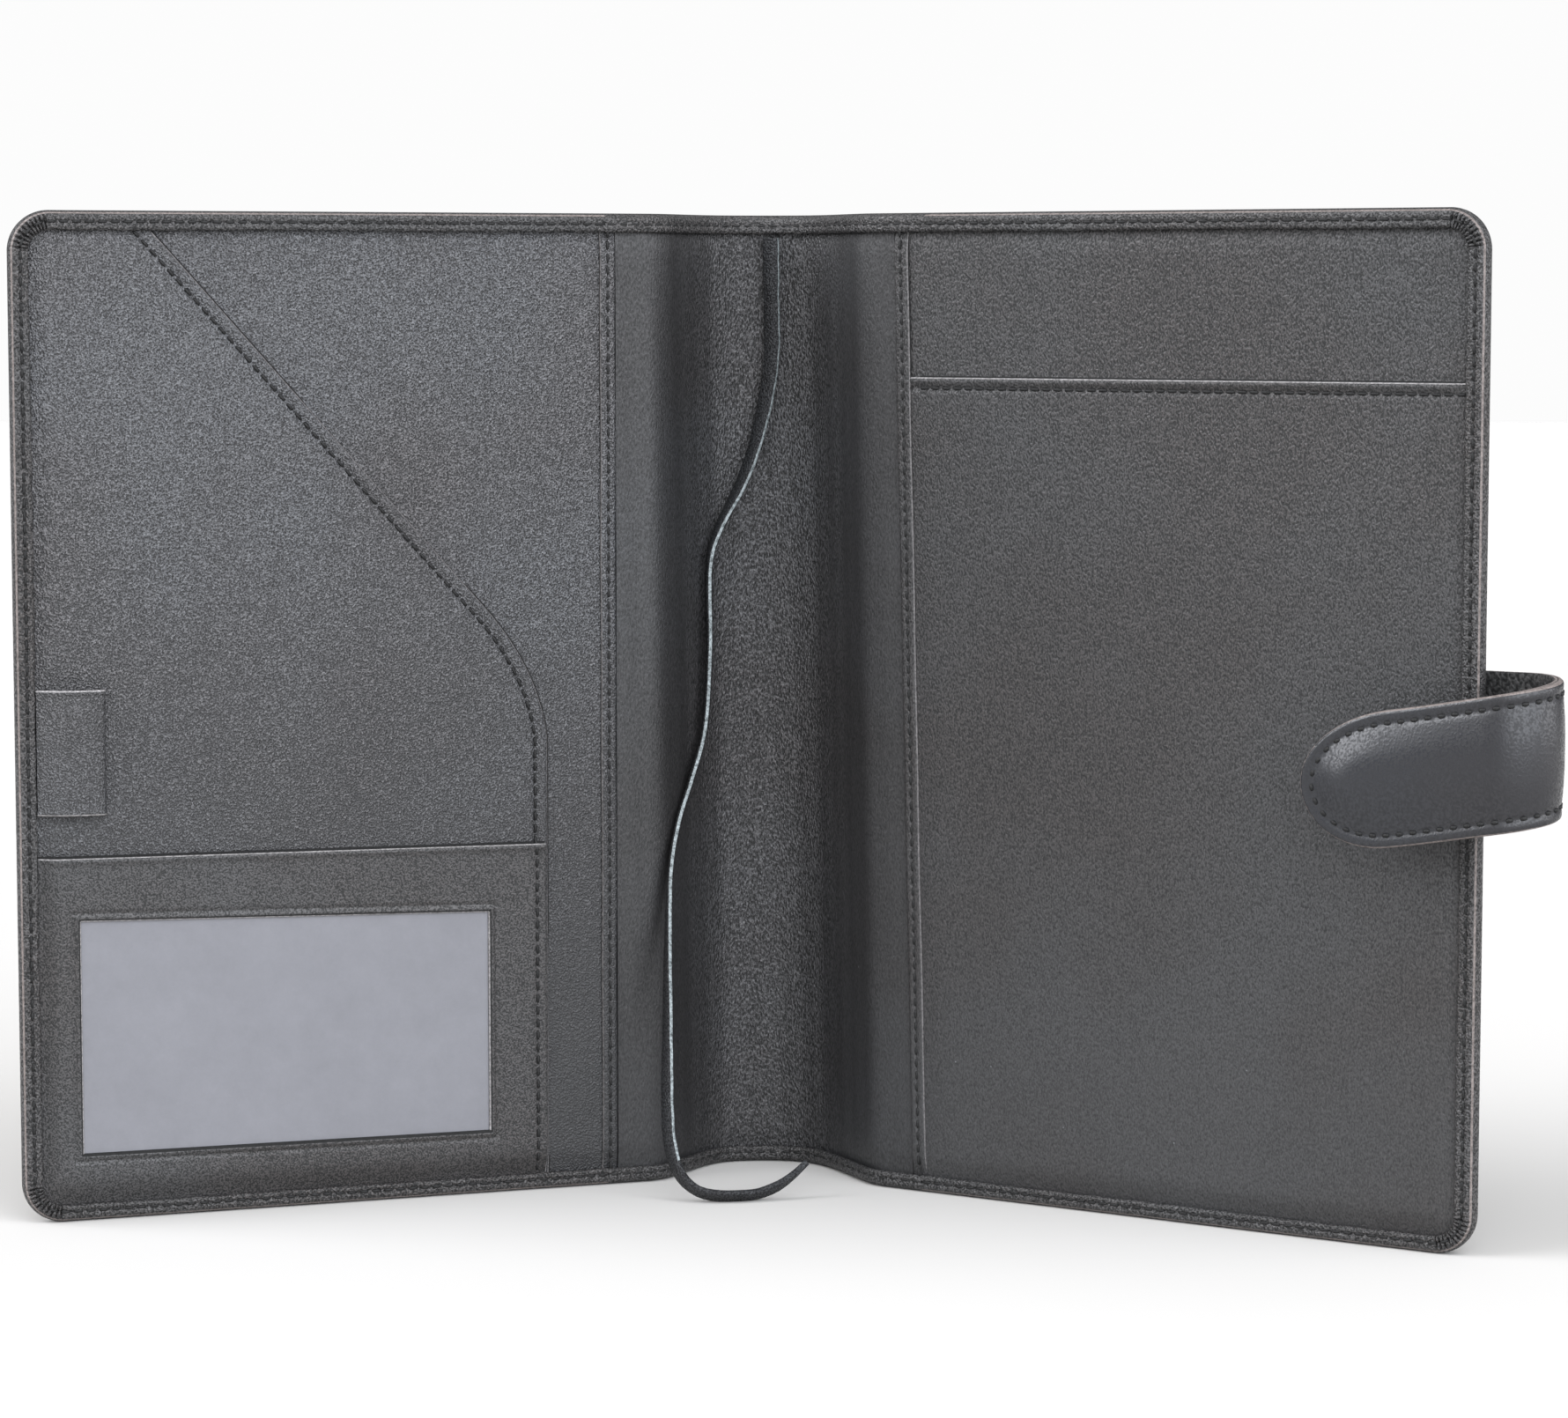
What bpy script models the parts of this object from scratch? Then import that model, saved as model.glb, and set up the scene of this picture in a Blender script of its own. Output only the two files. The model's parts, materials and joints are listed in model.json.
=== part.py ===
"""Leather notebook cover, standing open on its lower edge.

Units are metres and +Z is up. The frame's origin is the middle of the spine's lower edge. +X runs
across the open cover, from the front cover to the back cover, and -Y is the inner side, where the
notebook goes. Each cover turns about a vertical fold beside the spine, and the closing strap turns
about the back cover's outer edge.
"""

import math

import bmesh
import bpy
from mathutils import Vector

MM = 0.001

# Whole cover
HEIGHT = 222 * MM
PANEL_WIDTH = 144.2 * MM
CORNER_RADIUS = 9 * MM
FOLD_GAP = 1.25 * MM
FRONT_FOLD = (-27.8 * MM, -24.3 * MM)
BACK_FOLD = (28.3 * MM, -30.9 * MM)
FRONT_ANGLE = math.radians(19.3)
BACK_ANGLE = math.radians(-31.3)
SPINE_FRONT_SLOPE = math.radians(60)
SPINE_BACK_SLOPE = math.radians(62)

# Depths are measured inwards from the outer face of the leather. The folds lie at NEUTRAL.
NEUTRAL = 2.0 * MM
LEATHER = (0.0, 1.1 * MM)
BOARD = (1.35 * MM, 2.4 * MM)
LINING = (2.65 * MM, 2.95 * MM)
SLEEVE = (3.2 * MM, 4.0 * MM)
LIP = (4.3 * MM, 5.2 * MM)
POCKET = (4.3 * MM, 5.0 * MM)
FILM = (5.25 * MM, 5.42 * MM)
CARD_POCKET = (5.7 * MM, 6.35 * MM)
BINDING = (4.3 * MM, 4.85 * MM)
REINFORCEMENT = (1.4 * MM, 2.3 * MM)
SPINE_LINING = (2.65 * MM, 4.0 * MM)
THREAD = 0.35 * MM
THREAD_HALF_WIDTH = 0.3 * MM
GAP = 0.3 * MM

# Cutters reach this far past what they cut
PAST_FOLD = -5 * MM
ABOVE_ALL = 8 * MM

# The turned border
EDGE_WALL = 1.1 * MM
BORDER = 4.7 * MM
SEAM_INSET = 2.4 * MM
TUCKED = EDGE_WALL + GAP

# Where the boards and the backing cloths start, from the fold
BOARD_START = 10 * MM
CLOTH_START = 2 * MM

# Front cover, inside. Distances run from the fold towards the outer edge.
FRONT_SLEEVE_EDGE = 8.1 * MM
FRONT_BINDING = (7.5 * MM, 11.2 * MM)
FRONT_BINDING_SEAM = 9.4 * MM
DIAGONAL_HEAD = (112.6 * MM, 217 * MM)
DIAGONAL_KNEE = (38.3 * MM, 133.5 * MM)
DIAGONAL_BEND = (26.0 * MM, 119.5 * MM)
DIAGONAL_END = (24.1 * MM, 104 * MM)
DIAGONAL_SEAM = 2.9 * MM
CARD_POCKET_EDGE = 24.8 * MM
CARD_POCKET_SEAM = 26.8 * MM
CARD_POCKET_TOP = (79.8 * MM, 80.9 * MM)
WINDOW_CORNERS = ((38.6, 14.8), (130.7, 15.3), (131.2, 66.8), (38.4, 64.7))
FILM_CORNERS = ((35, 11), (134.5, 11), (134.5, 71), (35, 69))
PEN_LOOP_X = (125.0 * MM, 139.2 * MM)
PEN_LOOP_Z = (90.4 * MM, 118.0 * MM)
PEN_LOOP_DEPTH = (5.3 * MM, 8.7 * MM)
PEN_LOOP_WALL = 0.8 * MM
MAGNET_PLATE = (118 * MM, 102 * MM)

# Back cover, inside
BACK_BINDING_TOP = (1.6 * MM, 5.3 * MM)
BACK_BINDING_FOOT = (7.3 * MM, 11.1 * MM)
BACK_BINDING_SEAM = 1.9 * MM
BACK_POCKET_TOP = 185.3 * MM
BACK_POCKET_SEAM = 2.4 * MM

# Closing strap
STRAP_HALF_WIDTH = 14.5 * MM
STRAP_ROOT = (102.3 * MM, PANEL_WIDTH + GAP)
STRAP_ROOT_Z = 110.3 * MM
STRAP_ROOT_CORNER = 4 * MM
STRAP_PLY = 0.95 * MM
STRAP_HALF_GAP = 0.15 * MM
STRAP_MIDDLE = -1.4 * MM
STRAP_HINGE_Y = STRAP_MIDDLE - STRAP_HALF_GAP - STRAP_PLY
STRAP_BEND_X = 151.9 * MM
STRAP_BEND_RADIUS = 10.4 * MM
STRAP_TIP_X = 110.2 * MM
STRAP_TIP_LENGTH = 20 * MM
STRAP_DROOP = 8.9 * MM
STRAP_DROOP_LENGTH = 72 * MM
STRAP_PADDING = 1.5 * MM
STRAP_PADDING_LENGTH = 40 * MM
STRAP_PADDING_INSET = 2.5 * MM
STRAP_PADDING_RISE = 14 * MM
STRAP_SEAM_INSET = 2.7 * MM
STRAP_SEAM_START = 3.2 * MM
STRAP_MAGNET_BACK = 17 * MM
MAGNET_RADIUS = 8 * MM

# Bookmark thong: the route of its middle, in millimetres, from the spine's top border to its tip
THONG_WIDTH = 2.8 * MM
THONG_ROUTE = (
    (0.9, -3.9, 216.8),
    (1.1, -4.1, 203),
    (0.9, -4.5, 187),
    (-2.2, -5.2, 171),
    (-6.0, -6.4, 160),
    (-11.0, -8.6, 150),
    (-13.3, -10.2, 141),
    (-13.3, -10.8, 122),
    (-14.4, -12.2, 104),
    (-17.4, -15.8, 92.5),
    (-20.3, -20.6, 83),
    (-22.0, -25.2, 72),
    (-22.5, -30, 54),
    (-22.5, -34.4, 40),
    (-22.5, -38.6, 30),
    (-22.4, -42.6, 21),
    (-21.8, -46, 13),
    (-19.6, -48.8, 6.4),
    (-16.0, -50.3, 3.0),
    (-12.0, -50.6, 1.8),
    (-7.0, -49.9, 1.5),
    (-2.0, -48.6, 1.7),
    (2.6, -47.2, 3.2),
    (6.2, -46.1, 5.6),
    (9.2, -45.1, 8.3),
)
THONG_SPACING = 3.9

SHARP = math.radians(40)

# Plain colours: (red, green, blue), roughness, metallic
FINISHES = {
    "leather": ((0.035, 0.035, 0.038), 0.5, 0.0),
    "lining_leather": ((0.045, 0.045, 0.049), 0.6, 0.0),
    "strap_leather": ((0.03, 0.03, 0.033), 0.4, 0.0),
    "board": ((0.32, 0.27, 0.2), 0.9, 0.0),
    "cloth": ((0.03, 0.03, 0.03), 0.9, 0.0),
    "film": ((0.45, 0.48, 0.52), 0.35, 0.0),
    "steel": ((0.6, 0.6, 0.6), 0.35, 1.0),
    "thread": ((0.02, 0.02, 0.022), 0.6, 0.0),
    "thong": ((0.06, 0.07, 0.07), 0.5, 0.0),
}


def clear_scene():
    for old in list(bpy.data.objects):
        bpy.data.objects.remove(old, do_unlink=True)


def material(name, finish):
    """A material of its own for the object called name."""
    color, roughness, metallic = FINISHES[finish]
    made = bpy.data.materials.new(name + "_material")
    made.use_nodes = True
    shader = made.node_tree.nodes["Principled BSDF"]
    shader.inputs["Base Color"].default_value = (*color, 1.0)
    shader.inputs["Roughness"].default_value = roughness
    shader.inputs["Metallic"].default_value = metallic
    made.diffuse_color = (*color, 1.0)
    return made


def add_object(name, data, finish, parent=None):
    thing = bpy.data.objects.new(name, data)
    bpy.context.scene.collection.objects.link(thing)
    thing.parent = parent
    if finish:
        data.materials.append(material(name, finish))
    return thing


def add_empty(name, fold, angle):
    """An empty on a fold. Its X runs along the cover and its Y points to the outer side."""
    empty = bpy.data.objects.new(name, None)
    bpy.context.scene.collection.objects.link(empty)
    empty.location = (fold[0], fold[1], 0.0)
    empty.rotation_euler = (0.0, 0.0, angle)
    return empty


def mesh_from_rings(name, rings, closed=False):
    """A closed mesh through rings of points, with an end face on the first and last ring."""
    shape = bmesh.new()
    loops = [[shape.verts.new(point) for point in ring] for ring in rings]
    count = len(rings[0])
    pairs = list(zip(loops, loops[1:]))
    if closed:
        pairs.append((loops[-1], loops[0]))
    for near, far in pairs:
        for i in range(count):
            j = (i + 1) % count
            shape.faces.new((near[i], near[j], far[j], far[i]))
    if not closed:
        shape.faces.new(list(reversed(loops[0])))
        shape.faces.new(loops[-1])
    bmesh.ops.recalc_face_normals(shape, faces=shape.faces)
    mesh = bpy.data.meshes.new(name)
    shape.to_mesh(mesh)
    shape.free()
    mesh.shade_smooth()
    mesh.set_sharp_from_angle(angle=SHARP)
    return mesh


def prism(name, outline, depths, finish, parent, side):
    """A flat piece: an outline of (distance, height) with its two depths from the outer face."""
    rings = [
        [(side * x, NEUTRAL - depth, z) for x, z in outline]
        for depth in depths
    ]
    return add_object(name, mesh_from_rings(name, rings), finish, parent)


def cutter(name, outline, depths, parent, side):
    made = prism(name, outline, depths, None, parent, side)
    made.hide_render = True
    made.display_type = "WIRE"
    return made


def cut(target, tool):
    modifier = target.modifiers.new(tool.name, "BOOLEAN")
    modifier.operation = "DIFFERENCE"
    modifier.solver = "EXACT"
    modifier.object = tool


def arc(center, radius, start, end, steps):
    """Points round an arc, angles in degrees."""
    points = []
    for i in range(steps + 1):
        angle = math.radians(start + (end - start) * i / steps)
        points.append((center[0] + radius * math.cos(angle), center[1] + radius * math.sin(angle)))
    return points


def panel_outline(near, inset, steps=6):
    """A cover's outline, square at the fold and rounded at its two outer corners."""
    radius = max(CORNER_RADIUS - inset, 2 * MM)
    far = PANEL_WIDTH - inset
    low = inset
    high = HEIGHT - inset
    return [
        (near, low),
        *arc((far - radius, low + radius), radius, -90, 0, steps),
        *arc((far - radius, high - radius), radius, 0, 90, steps),
        (near, high),
    ]


def cover_leather(name, parent, side):
    """The outer leather, turned round the three free edges and over the inside as a border."""
    leather = prism(name, panel_outline(FOLD_GAP, 0), (LEATHER[0], LIP[1]), "leather", parent, side)
    cavity = cutter(
        name + "_cavity", panel_outline(PAST_FOLD, EDGE_WALL), (LEATHER[1], LIP[0]), parent, side
    )
    mouth = cutter(
        name + "_mouth", panel_outline(PAST_FOLD, BORDER), (LIP[0] - GAP, ABOVE_ALL), parent, side
    )
    cut(leather, cavity)
    cut(leather, mouth)
    return leather


def border_thread(name, parent, side):
    """The border's seam, one thread round the three free edges."""
    outer = panel_outline(FOLD_GAP, SEAM_INSET - THREAD_HALF_WIDTH)
    inner = panel_outline(FOLD_GAP, SEAM_INSET + THREAD_HALF_WIDTH)
    band = outer + list(reversed(inner))
    return prism(name, band, (LIP[1] + GAP, LIP[1] + GAP + THREAD), "thread", parent, side)


def straight_thread(name, start, end, depth, parent, side):
    """The thread of a straight seam between two points, lying on the given depth."""
    along = Vector((end[0] - start[0], end[1] - start[1])).normalized() * THREAD_HALF_WIDTH
    across = (-along.y, along.x)
    outline = [
        (start[0] - across[0], start[1] - across[1]),
        (end[0] - across[0], end[1] - across[1]),
        (end[0] + across[0], end[1] + across[1]),
        (start[0] + across[0], start[1] + across[1]),
    ]
    return prism(name, outline, (depth + GAP, depth + GAP + THREAD), "thread", parent, side)


def circle(center, radius):
    return arc(center, radius, 0, 345, 23)


def inner_bounds():
    """How far the pieces inside the border reach: lowest and highest z, and the far end."""
    return BORDER + GAP, HEIGHT - BORDER - GAP, PANEL_WIDTH - BORDER - GAP


def far_corner(upper):
    """The rounded outer corner of a piece that fills the inside of the border."""
    low, high, far = inner_bounds()
    radius = CORNER_RADIUS - BORDER - GAP
    if upper:
        return arc((far - radius, high - radius), radius, 0, 90, 4)
    return arc((far - radius, low + radius), radius, -90, 0, 4)


def binding(name, foot, top, parent, side):
    """The strip folded round the free edge of a sleeve."""
    low, high, _ = inner_bounds()
    outline = [(foot[0], low), (foot[1], low), (top[1], high), (top[0], high)]
    return prism(name, outline, BINDING, "lining_leather", parent, side)


def diagonal_edge(inset=0.0):
    """The diagonal pocket's free edge, or a line inside it, from the top border to the bottom one."""
    low, high, _ = inner_bounds()
    knee = Vector(DIAGONAL_KNEE)
    bend = Vector(DIAGONAL_BEND)
    end = Vector(DIAGONAL_END)
    points = [Vector((DIAGONAL_HEAD[0], high)), knee]
    for i in range(1, 7):
        t = i / 6
        points.append(knee * (1 - t) ** 2 + bend * 2 * t * (1 - t) + end * t ** 2)
    points.append(Vector((DIAGONAL_END[0], low)))
    edge = []
    for i, point in enumerate(points):
        ahead = points[min(i + 1, len(points) - 1)]
        behind = points[max(i - 1, 0)]
        heading = (ahead - behind).normalized()
        inwards = Vector((-heading.y, heading.x))
        moved = point + inwards * inset
        edge.append((moved.x, min(max(moved.y, low), high)))
    return edge


def diagonal_pocket(parent, side):
    outline = diagonal_edge() + far_corner(False) + far_corner(True)
    prism("diagonal_pocket", outline, POCKET, "lining_leather", parent, side)
    above_card_pocket = CARD_POCKET_TOP[1] + 10 * GAP
    near, far = [
        [point for point in diagonal_edge(DIAGONAL_SEAM + offset) if point[1] > above_card_pocket]
        for offset in (-THREAD_HALF_WIDTH, THREAD_HALF_WIDTH)
    ]
    band = near + list(reversed(far))
    prism("diagonal_pocket_thread", band, (POCKET[1] + GAP, POCKET[1] + GAP + THREAD), "thread",
          parent, side)


def card_pocket(parent, side):
    """The lower pocket with its window and the clear film behind it."""
    low, _, far = inner_bounds()
    near = CARD_POCKET_EDGE
    outline = [(near, low), *far_corner(False), (far, CARD_POCKET_TOP[1]), (near, CARD_POCKET_TOP[0])]
    pocket = prism("card_pocket", outline, CARD_POCKET, "lining_leather", parent, side)
    window = [(x * MM, z * MM) for x, z in WINDOW_CORNERS]
    cut(pocket, cutter("card_window_cutter", window, (LIP[0], ABOVE_ALL), parent, side))
    film = [(x * MM, z * MM) for x, z in FILM_CORNERS]
    prism("card_window_film", film, FILM, "film", parent, side)
    straight_thread("card_pocket_thread", (CARD_POCKET_SEAM, low + GAP),
                    (CARD_POCKET_SEAM, CARD_POCKET_TOP[0] - GAP), CARD_POCKET[1], parent, side)


def pen_loop(parent, side):
    """A flattened band of leather, open at its top and bottom."""
    near, far = PEN_LOOP_X
    shallow, deep = PEN_LOOP_DEPTH

    def ring(inset, steps):
        radius = (deep - shallow) / 2 - inset
        middle = (shallow + deep) / 2
        right = arc((near + radius + inset, middle), radius, 270, 90, steps)
        left = arc((far - radius - inset, middle), radius, 90, -90, steps)
        return [(side * x, NEUTRAL - depth) for x, depth in right + left]

    outer = ring(0, 5)
    inner = ring(PEN_LOOP_WALL, 5)
    rings = []
    for i in range(len(outer)):
        rings.append([
            (*outer[i], PEN_LOOP_Z[0]),
            (*outer[i], PEN_LOOP_Z[1]),
            (*inner[i], PEN_LOOP_Z[1]),
            (*inner[i], PEN_LOOP_Z[0]),
        ])
    add_object("pen_loop", mesh_from_rings("pen_loop", rings, True), "lining_leather", parent)


def front_cover(parent):
    side = -1
    cover_leather("front_cover_leather", parent, side)
    board = prism("front_cover_board", panel_outline(BOARD_START, TUCKED), BOARD, "board",
                  parent, side)
    hole = circle(MAGNET_PLATE, MAGNET_RADIUS + GAP)
    cut(board, cutter("magnet_plate_hole", hole, (LEATHER[1], LINING[0]), parent, side))
    prism("front_magnet_plate", circle(MAGNET_PLATE, MAGNET_RADIUS), BOARD, "steel", parent, side)
    prism("front_cover_lining", panel_outline(CLOTH_START, TUCKED), LINING, "cloth", parent, side)
    prism("front_sleeve", panel_outline(FRONT_SLEEVE_EDGE, TUCKED), SLEEVE, "lining_leather",
          parent, side)
    binding("front_sleeve_binding", FRONT_BINDING, FRONT_BINDING, parent, side)
    low, high, _ = inner_bounds()
    straight_thread("front_binding_thread", (FRONT_BINDING_SEAM, low), (FRONT_BINDING_SEAM, high),
                    BINDING[1], parent, side)
    diagonal_pocket(parent, side)
    card_pocket(parent, side)
    pen_loop(parent, side)
    border_thread("front_border_thread", parent, side)


def back_cover(parent):
    side = 1
    cover_leather("back_cover_leather", parent, side)
    prism("back_cover_board", panel_outline(BOARD_START, TUCKED), BOARD, "board", parent, side)
    prism("back_cover_lining", panel_outline(CLOTH_START, TUCKED), LINING, "cloth", parent, side)
    sleeve = panel_outline(0, TUCKED)
    sleeve[0] = (BACK_BINDING_FOOT[0] + 2 * GAP, TUCKED)
    sleeve[-1] = (BACK_BINDING_TOP[0] + 2 * GAP, HEIGHT - TUCKED)
    prism("back_sleeve", sleeve, SLEEVE, "lining_leather", parent, side)
    binding("back_sleeve_binding", BACK_BINDING_FOOT, BACK_BINDING_TOP, parent, side)
    low, high, far = inner_bounds()
    foot = BACK_BINDING_FOOT[0] + BACK_BINDING_SEAM
    top = BACK_BINDING_TOP[0] + BACK_BINDING_SEAM
    straight_thread("back_binding_thread", (foot, low + GAP), (top, high - GAP), BINDING[1],
                    parent, side)
    pocket = [
        (BACK_BINDING_FOOT[1] + GAP, low),
        *far_corner(False),
        (far, BACK_POCKET_TOP),
        (BACK_BINDING_TOP[1] + 5 * GAP, BACK_POCKET_TOP),
    ]
    prism("back_document_pocket", pocket, POCKET, "lining_leather", parent, side)
    seam = BACK_POCKET_TOP - BACK_POCKET_SEAM
    straight_thread("back_pocket_thread", (BACK_BINDING_FOOT[0], seam), (far - GAP, seam), POCKET[1],
                    parent, side)
    border_thread("back_border_thread", parent, side)
    strap_root(parent)


def strap_root(parent):
    """The part of the strap that is sewn flat on the outside of the back cover."""
    low = STRAP_ROOT_Z - STRAP_HALF_WIDTH
    high = STRAP_ROOT_Z + STRAP_HALF_WIDTH
    near, far = STRAP_ROOT
    corner = STRAP_ROOT_CORNER
    outline = [
        *arc((near + corner, low + corner), corner, -180, -90, 4),
        (far, low),
        (far, high),
        *arc((near + corner, high - corner), corner, 90, 180, 4),
    ]
    inner = (STRAP_MIDDLE + STRAP_HALF_GAP, STRAP_MIDDLE + STRAP_HALF_GAP + STRAP_PLY)
    outer = (STRAP_HINGE_Y, STRAP_MIDDLE - STRAP_HALF_GAP)
    prism("strap_root_inner_ply", outline, inner, "strap_leather", parent, 1)
    prism("strap_root_outer_ply", outline, outer, "strap_leather", parent, 1)
    end = far - STRAP_SEAM_START
    outer_line, inner_line = [
        [(end, low + inset), (near + inset, low + inset), (near + inset, high - inset),
         (end, high - inset)]
        for inset in (STRAP_SEAM_INSET - THREAD_HALF_WIDTH, STRAP_SEAM_INSET + THREAD_HALF_WIDTH)
    ]
    level = outer[0] - GAP
    prism("strap_root_thread", outer_line + list(reversed(inner_line)), (level - THREAD, level),
          "thread", parent, 1)


def strap_lengths():
    """The lengths of the strap's three runs past the fold: out, round the bend and back."""
    out = STRAP_BEND_X - STRAP_ROOT[1]
    bend = math.pi * STRAP_BEND_RADIUS
    back = STRAP_BEND_X - STRAP_TIP_X
    return out, bend, back


def strap_point(distance):
    """Where the strap's middle is at a distance from the fold, and its direction to the outer side."""
    out, bend, _ = strap_lengths()
    if distance < out:
        return STRAP_ROOT[1] + distance, STRAP_MIDDLE, 0.0, -1.0
    middle = STRAP_MIDDLE + STRAP_BEND_RADIUS
    if distance < out + bend:
        angle = (distance - out) / STRAP_BEND_RADIUS
        x = STRAP_BEND_X + STRAP_BEND_RADIUS * math.sin(angle)
        depth = middle - STRAP_BEND_RADIUS * math.cos(angle)
        return x, depth, math.sin(angle), -math.cos(angle)
    return STRAP_BEND_X - (distance - out - bend), middle + STRAP_BEND_RADIUS, 0.0, 1.0


def smooth_step(value):
    value = min(max(value, 0.0), 1.0)
    return value * value * (3 - 2 * value)


def strap_height(distance):
    """The height of the strap's middle, which droops towards the tip."""
    left = sum(strap_lengths()) - distance
    return STRAP_ROOT_Z - STRAP_DROOP * (1 - smooth_step(left / STRAP_DROOP_LENGTH))


def strap_half_width(distance, inset):
    left = sum(strap_lengths()) - distance
    half = STRAP_HALF_WIDTH - inset
    tip = STRAP_TIP_LENGTH - inset
    left = left - inset
    if left >= tip:
        return half
    return half * math.sqrt(max(1 - (1 - left / tip) ** 2, 0.0))


def strap_stations(start, inset):
    """Distances along the strap, closer together round the bend and at the rounded tip."""
    out, bend, _ = strap_lengths()
    total = sum(strap_lengths()) - inset
    tip = STRAP_TIP_LENGTH - inset
    stations = [start] if start < out else []
    stations += [out + bend * i / 12 for i in range(13) if out + bend * i / 12 > start]
    stations += [total - tip - 18 * MM, total - tip]
    if start > out + bend:
        stations = [start, total - tip]
    stations += [total - tip * (1 - math.sin(math.radians(90 * i / 8))) for i in range(1, 8)]
    stations.append(total - 0.2 * MM)
    return stations


def strap_padding(distance):
    """How far the outer ply stands off where the padding and the magnet are."""
    out, bend, _ = strap_lengths()
    return STRAP_PADDING * smooth_step((distance - out - bend * 0.6) / STRAP_PADDING_RISE)


def strap_layer(name, start, inset, near_level, far_level, finish, parent):
    """One layer of the strap, between two levels that are functions of the distance."""
    rings = []
    for distance in strap_stations(start, inset):
        x, depth, out_x, out_depth = strap_point(distance)
        half = strap_half_width(distance, inset)
        height = strap_height(distance)
        ring = []
        for level, z in ((near_level, -half), (near_level, half), (far_level, half), (far_level, -half)):
            offset = level(distance)
            place_x = x + out_x * offset
            place_depth = depth + out_depth * offset
            ring.append((place_x - STRAP_ROOT[1], STRAP_HINGE_Y - place_depth, height + z))
        rings.append(ring)
    return add_object(name, mesh_from_rings(name, rings), finish, parent)


def strap(parent):
    """The free part of the strap, in the frame of its own fold."""
    ply = STRAP_HALF_GAP
    strap_layer("strap_inner_ply", GAP, 0, lambda d: -ply - STRAP_PLY, lambda d: -ply,
                "strap_leather", parent)
    strap_layer("strap_outer_ply", GAP, 0, lambda d: ply + strap_padding(d),
                lambda d: ply + strap_padding(d) + STRAP_PLY, "strap_leather", parent)
    filling = (GAP, ply + STRAP_PADDING - GAP)
    tab_start = sum(strap_lengths()) - STRAP_PADDING_LENGTH
    padding = strap_layer("strap_padding", tab_start, STRAP_PADDING_INSET, lambda d: filling[0],
                          lambda d: filling[1], "cloth", parent)
    center_x = STRAP_TIP_X + STRAP_MAGNET_BACK - STRAP_ROOT[1]
    depth = STRAP_MIDDLE + 2 * STRAP_BEND_RADIUS
    height = strap_height(sum(strap_lengths()) - STRAP_MAGNET_BACK)

    def round_prism(name, radius, two_levels, finish):
        rings = [
            [(x, STRAP_HINGE_Y - depth - level, z) for x, z in circle((center_x, height), radius)]
            for level in two_levels
        ]
        return add_object(name, mesh_from_rings(name, rings), finish, parent)

    round_prism("strap_magnet", MAGNET_RADIUS, filling, "steel")
    hole = round_prism("strap_magnet_hole", MAGNET_RADIUS + GAP, (0, 2 * STRAP_PADDING), None)
    hole.hide_render = True
    hole.display_type = "WIRE"
    cut(padding, hole)
    strap_seam(parent)


def strap_seam(parent):
    """The seam along the strap's two long edges and round its tip, on the outer ply."""
    inset = STRAP_SEAM_INSET
    half = THREAD_HALF_WIDTH
    lift = STRAP_HALF_GAP + STRAP_PLY + GAP
    tip = sum(strap_lengths()) - inset
    edge = [(d, strap_half_width(d, inset)) for d in strap_stations(STRAP_SEAM_START, inset)[:-1]]
    flat = edge + [(tip, 0.0)] + [(d, -z) for d, z in reversed(edge)]
    rings = []
    for i, (distance, z) in enumerate(flat):
        ahead = flat[min(i + 1, len(flat) - 1)]
        behind = flat[max(i - 1, 0)]
        heading = Vector((ahead[0] - behind[0], ahead[1] - behind[1])).normalized()
        ring = []
        for sideways, level in ((-half, 0), (half, 0), (half, THREAD), (-half, THREAD)):
            along = distance + heading.y * sideways
            x, depth, out_x, out_depth = strap_point(along)
            offset = lift + strap_padding(along) + level
            height = strap_height(along) + z - heading.x * sideways
            ring.append((x + out_x * offset - STRAP_ROOT[1],
                         STRAP_HINGE_Y - depth - out_depth * offset, height))
        rings.append(ring)
    add_object("strap_thread", mesh_from_rings("strap_thread", rings), "thread", parent)


def bezier(points, steps):
    """Points on a cubic curve through four control points, without the last one."""
    made = []
    for i in range(steps):
        t = i / steps
        weights = ((1 - t) ** 3, 3 * t * (1 - t) ** 2, 3 * t * t * (1 - t), t ** 3)
        made.append(sum((point * weight for point, weight in zip(points, weights)), Vector((0, 0))))
    return made


def spine_path():
    """The spine's neutral line in plan from the front fold to the back fold."""
    start = Vector(FRONT_FOLD)
    end = Vector(BACK_FOLD)
    crown = Vector((0, 0))
    rise = Vector((math.cos(SPINE_FRONT_SLOPE), math.sin(SPINE_FRONT_SLOPE)))
    fall = Vector((math.cos(SPINE_BACK_SLOPE), -math.sin(SPINE_BACK_SLOPE)))
    first = bezier((start, start + rise * 22 * MM, crown - Vector((16 * MM, 0)), crown), 14)
    second = bezier((crown, crown + Vector((10 * MM, 0)), end - fall * 18 * MM, end), 14)
    first[0] = start + rise * FOLD_GAP
    return first + second + [end - fall * FOLD_GAP]


def spine_layer(name, section, finish, trim=0):
    """A layer of the spine: a section of (depth, height) points swept along the spine's line."""
    path = spine_path()
    rings = []
    for i, point in enumerate(path):
        ahead = path[min(i + 1, len(path) - 1)]
        behind = path[max(i - 1, 0)]
        heading = (ahead - behind).normalized()
        outward = Vector((-heading.y, heading.x))
        ring = []
        for depth, z in section:
            place = point + outward * (NEUTRAL - depth)
            ring.append((place.x, place.y, z))
        rings.append(ring)
    if trim:
        rings = rings[trim:-trim]
    return add_object(name, mesh_from_rings(name, rings), finish)


def box_section(depths, low, high):
    return [(depths[0], low), (depths[0], high), (depths[1], high), (depths[1], low)]


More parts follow.
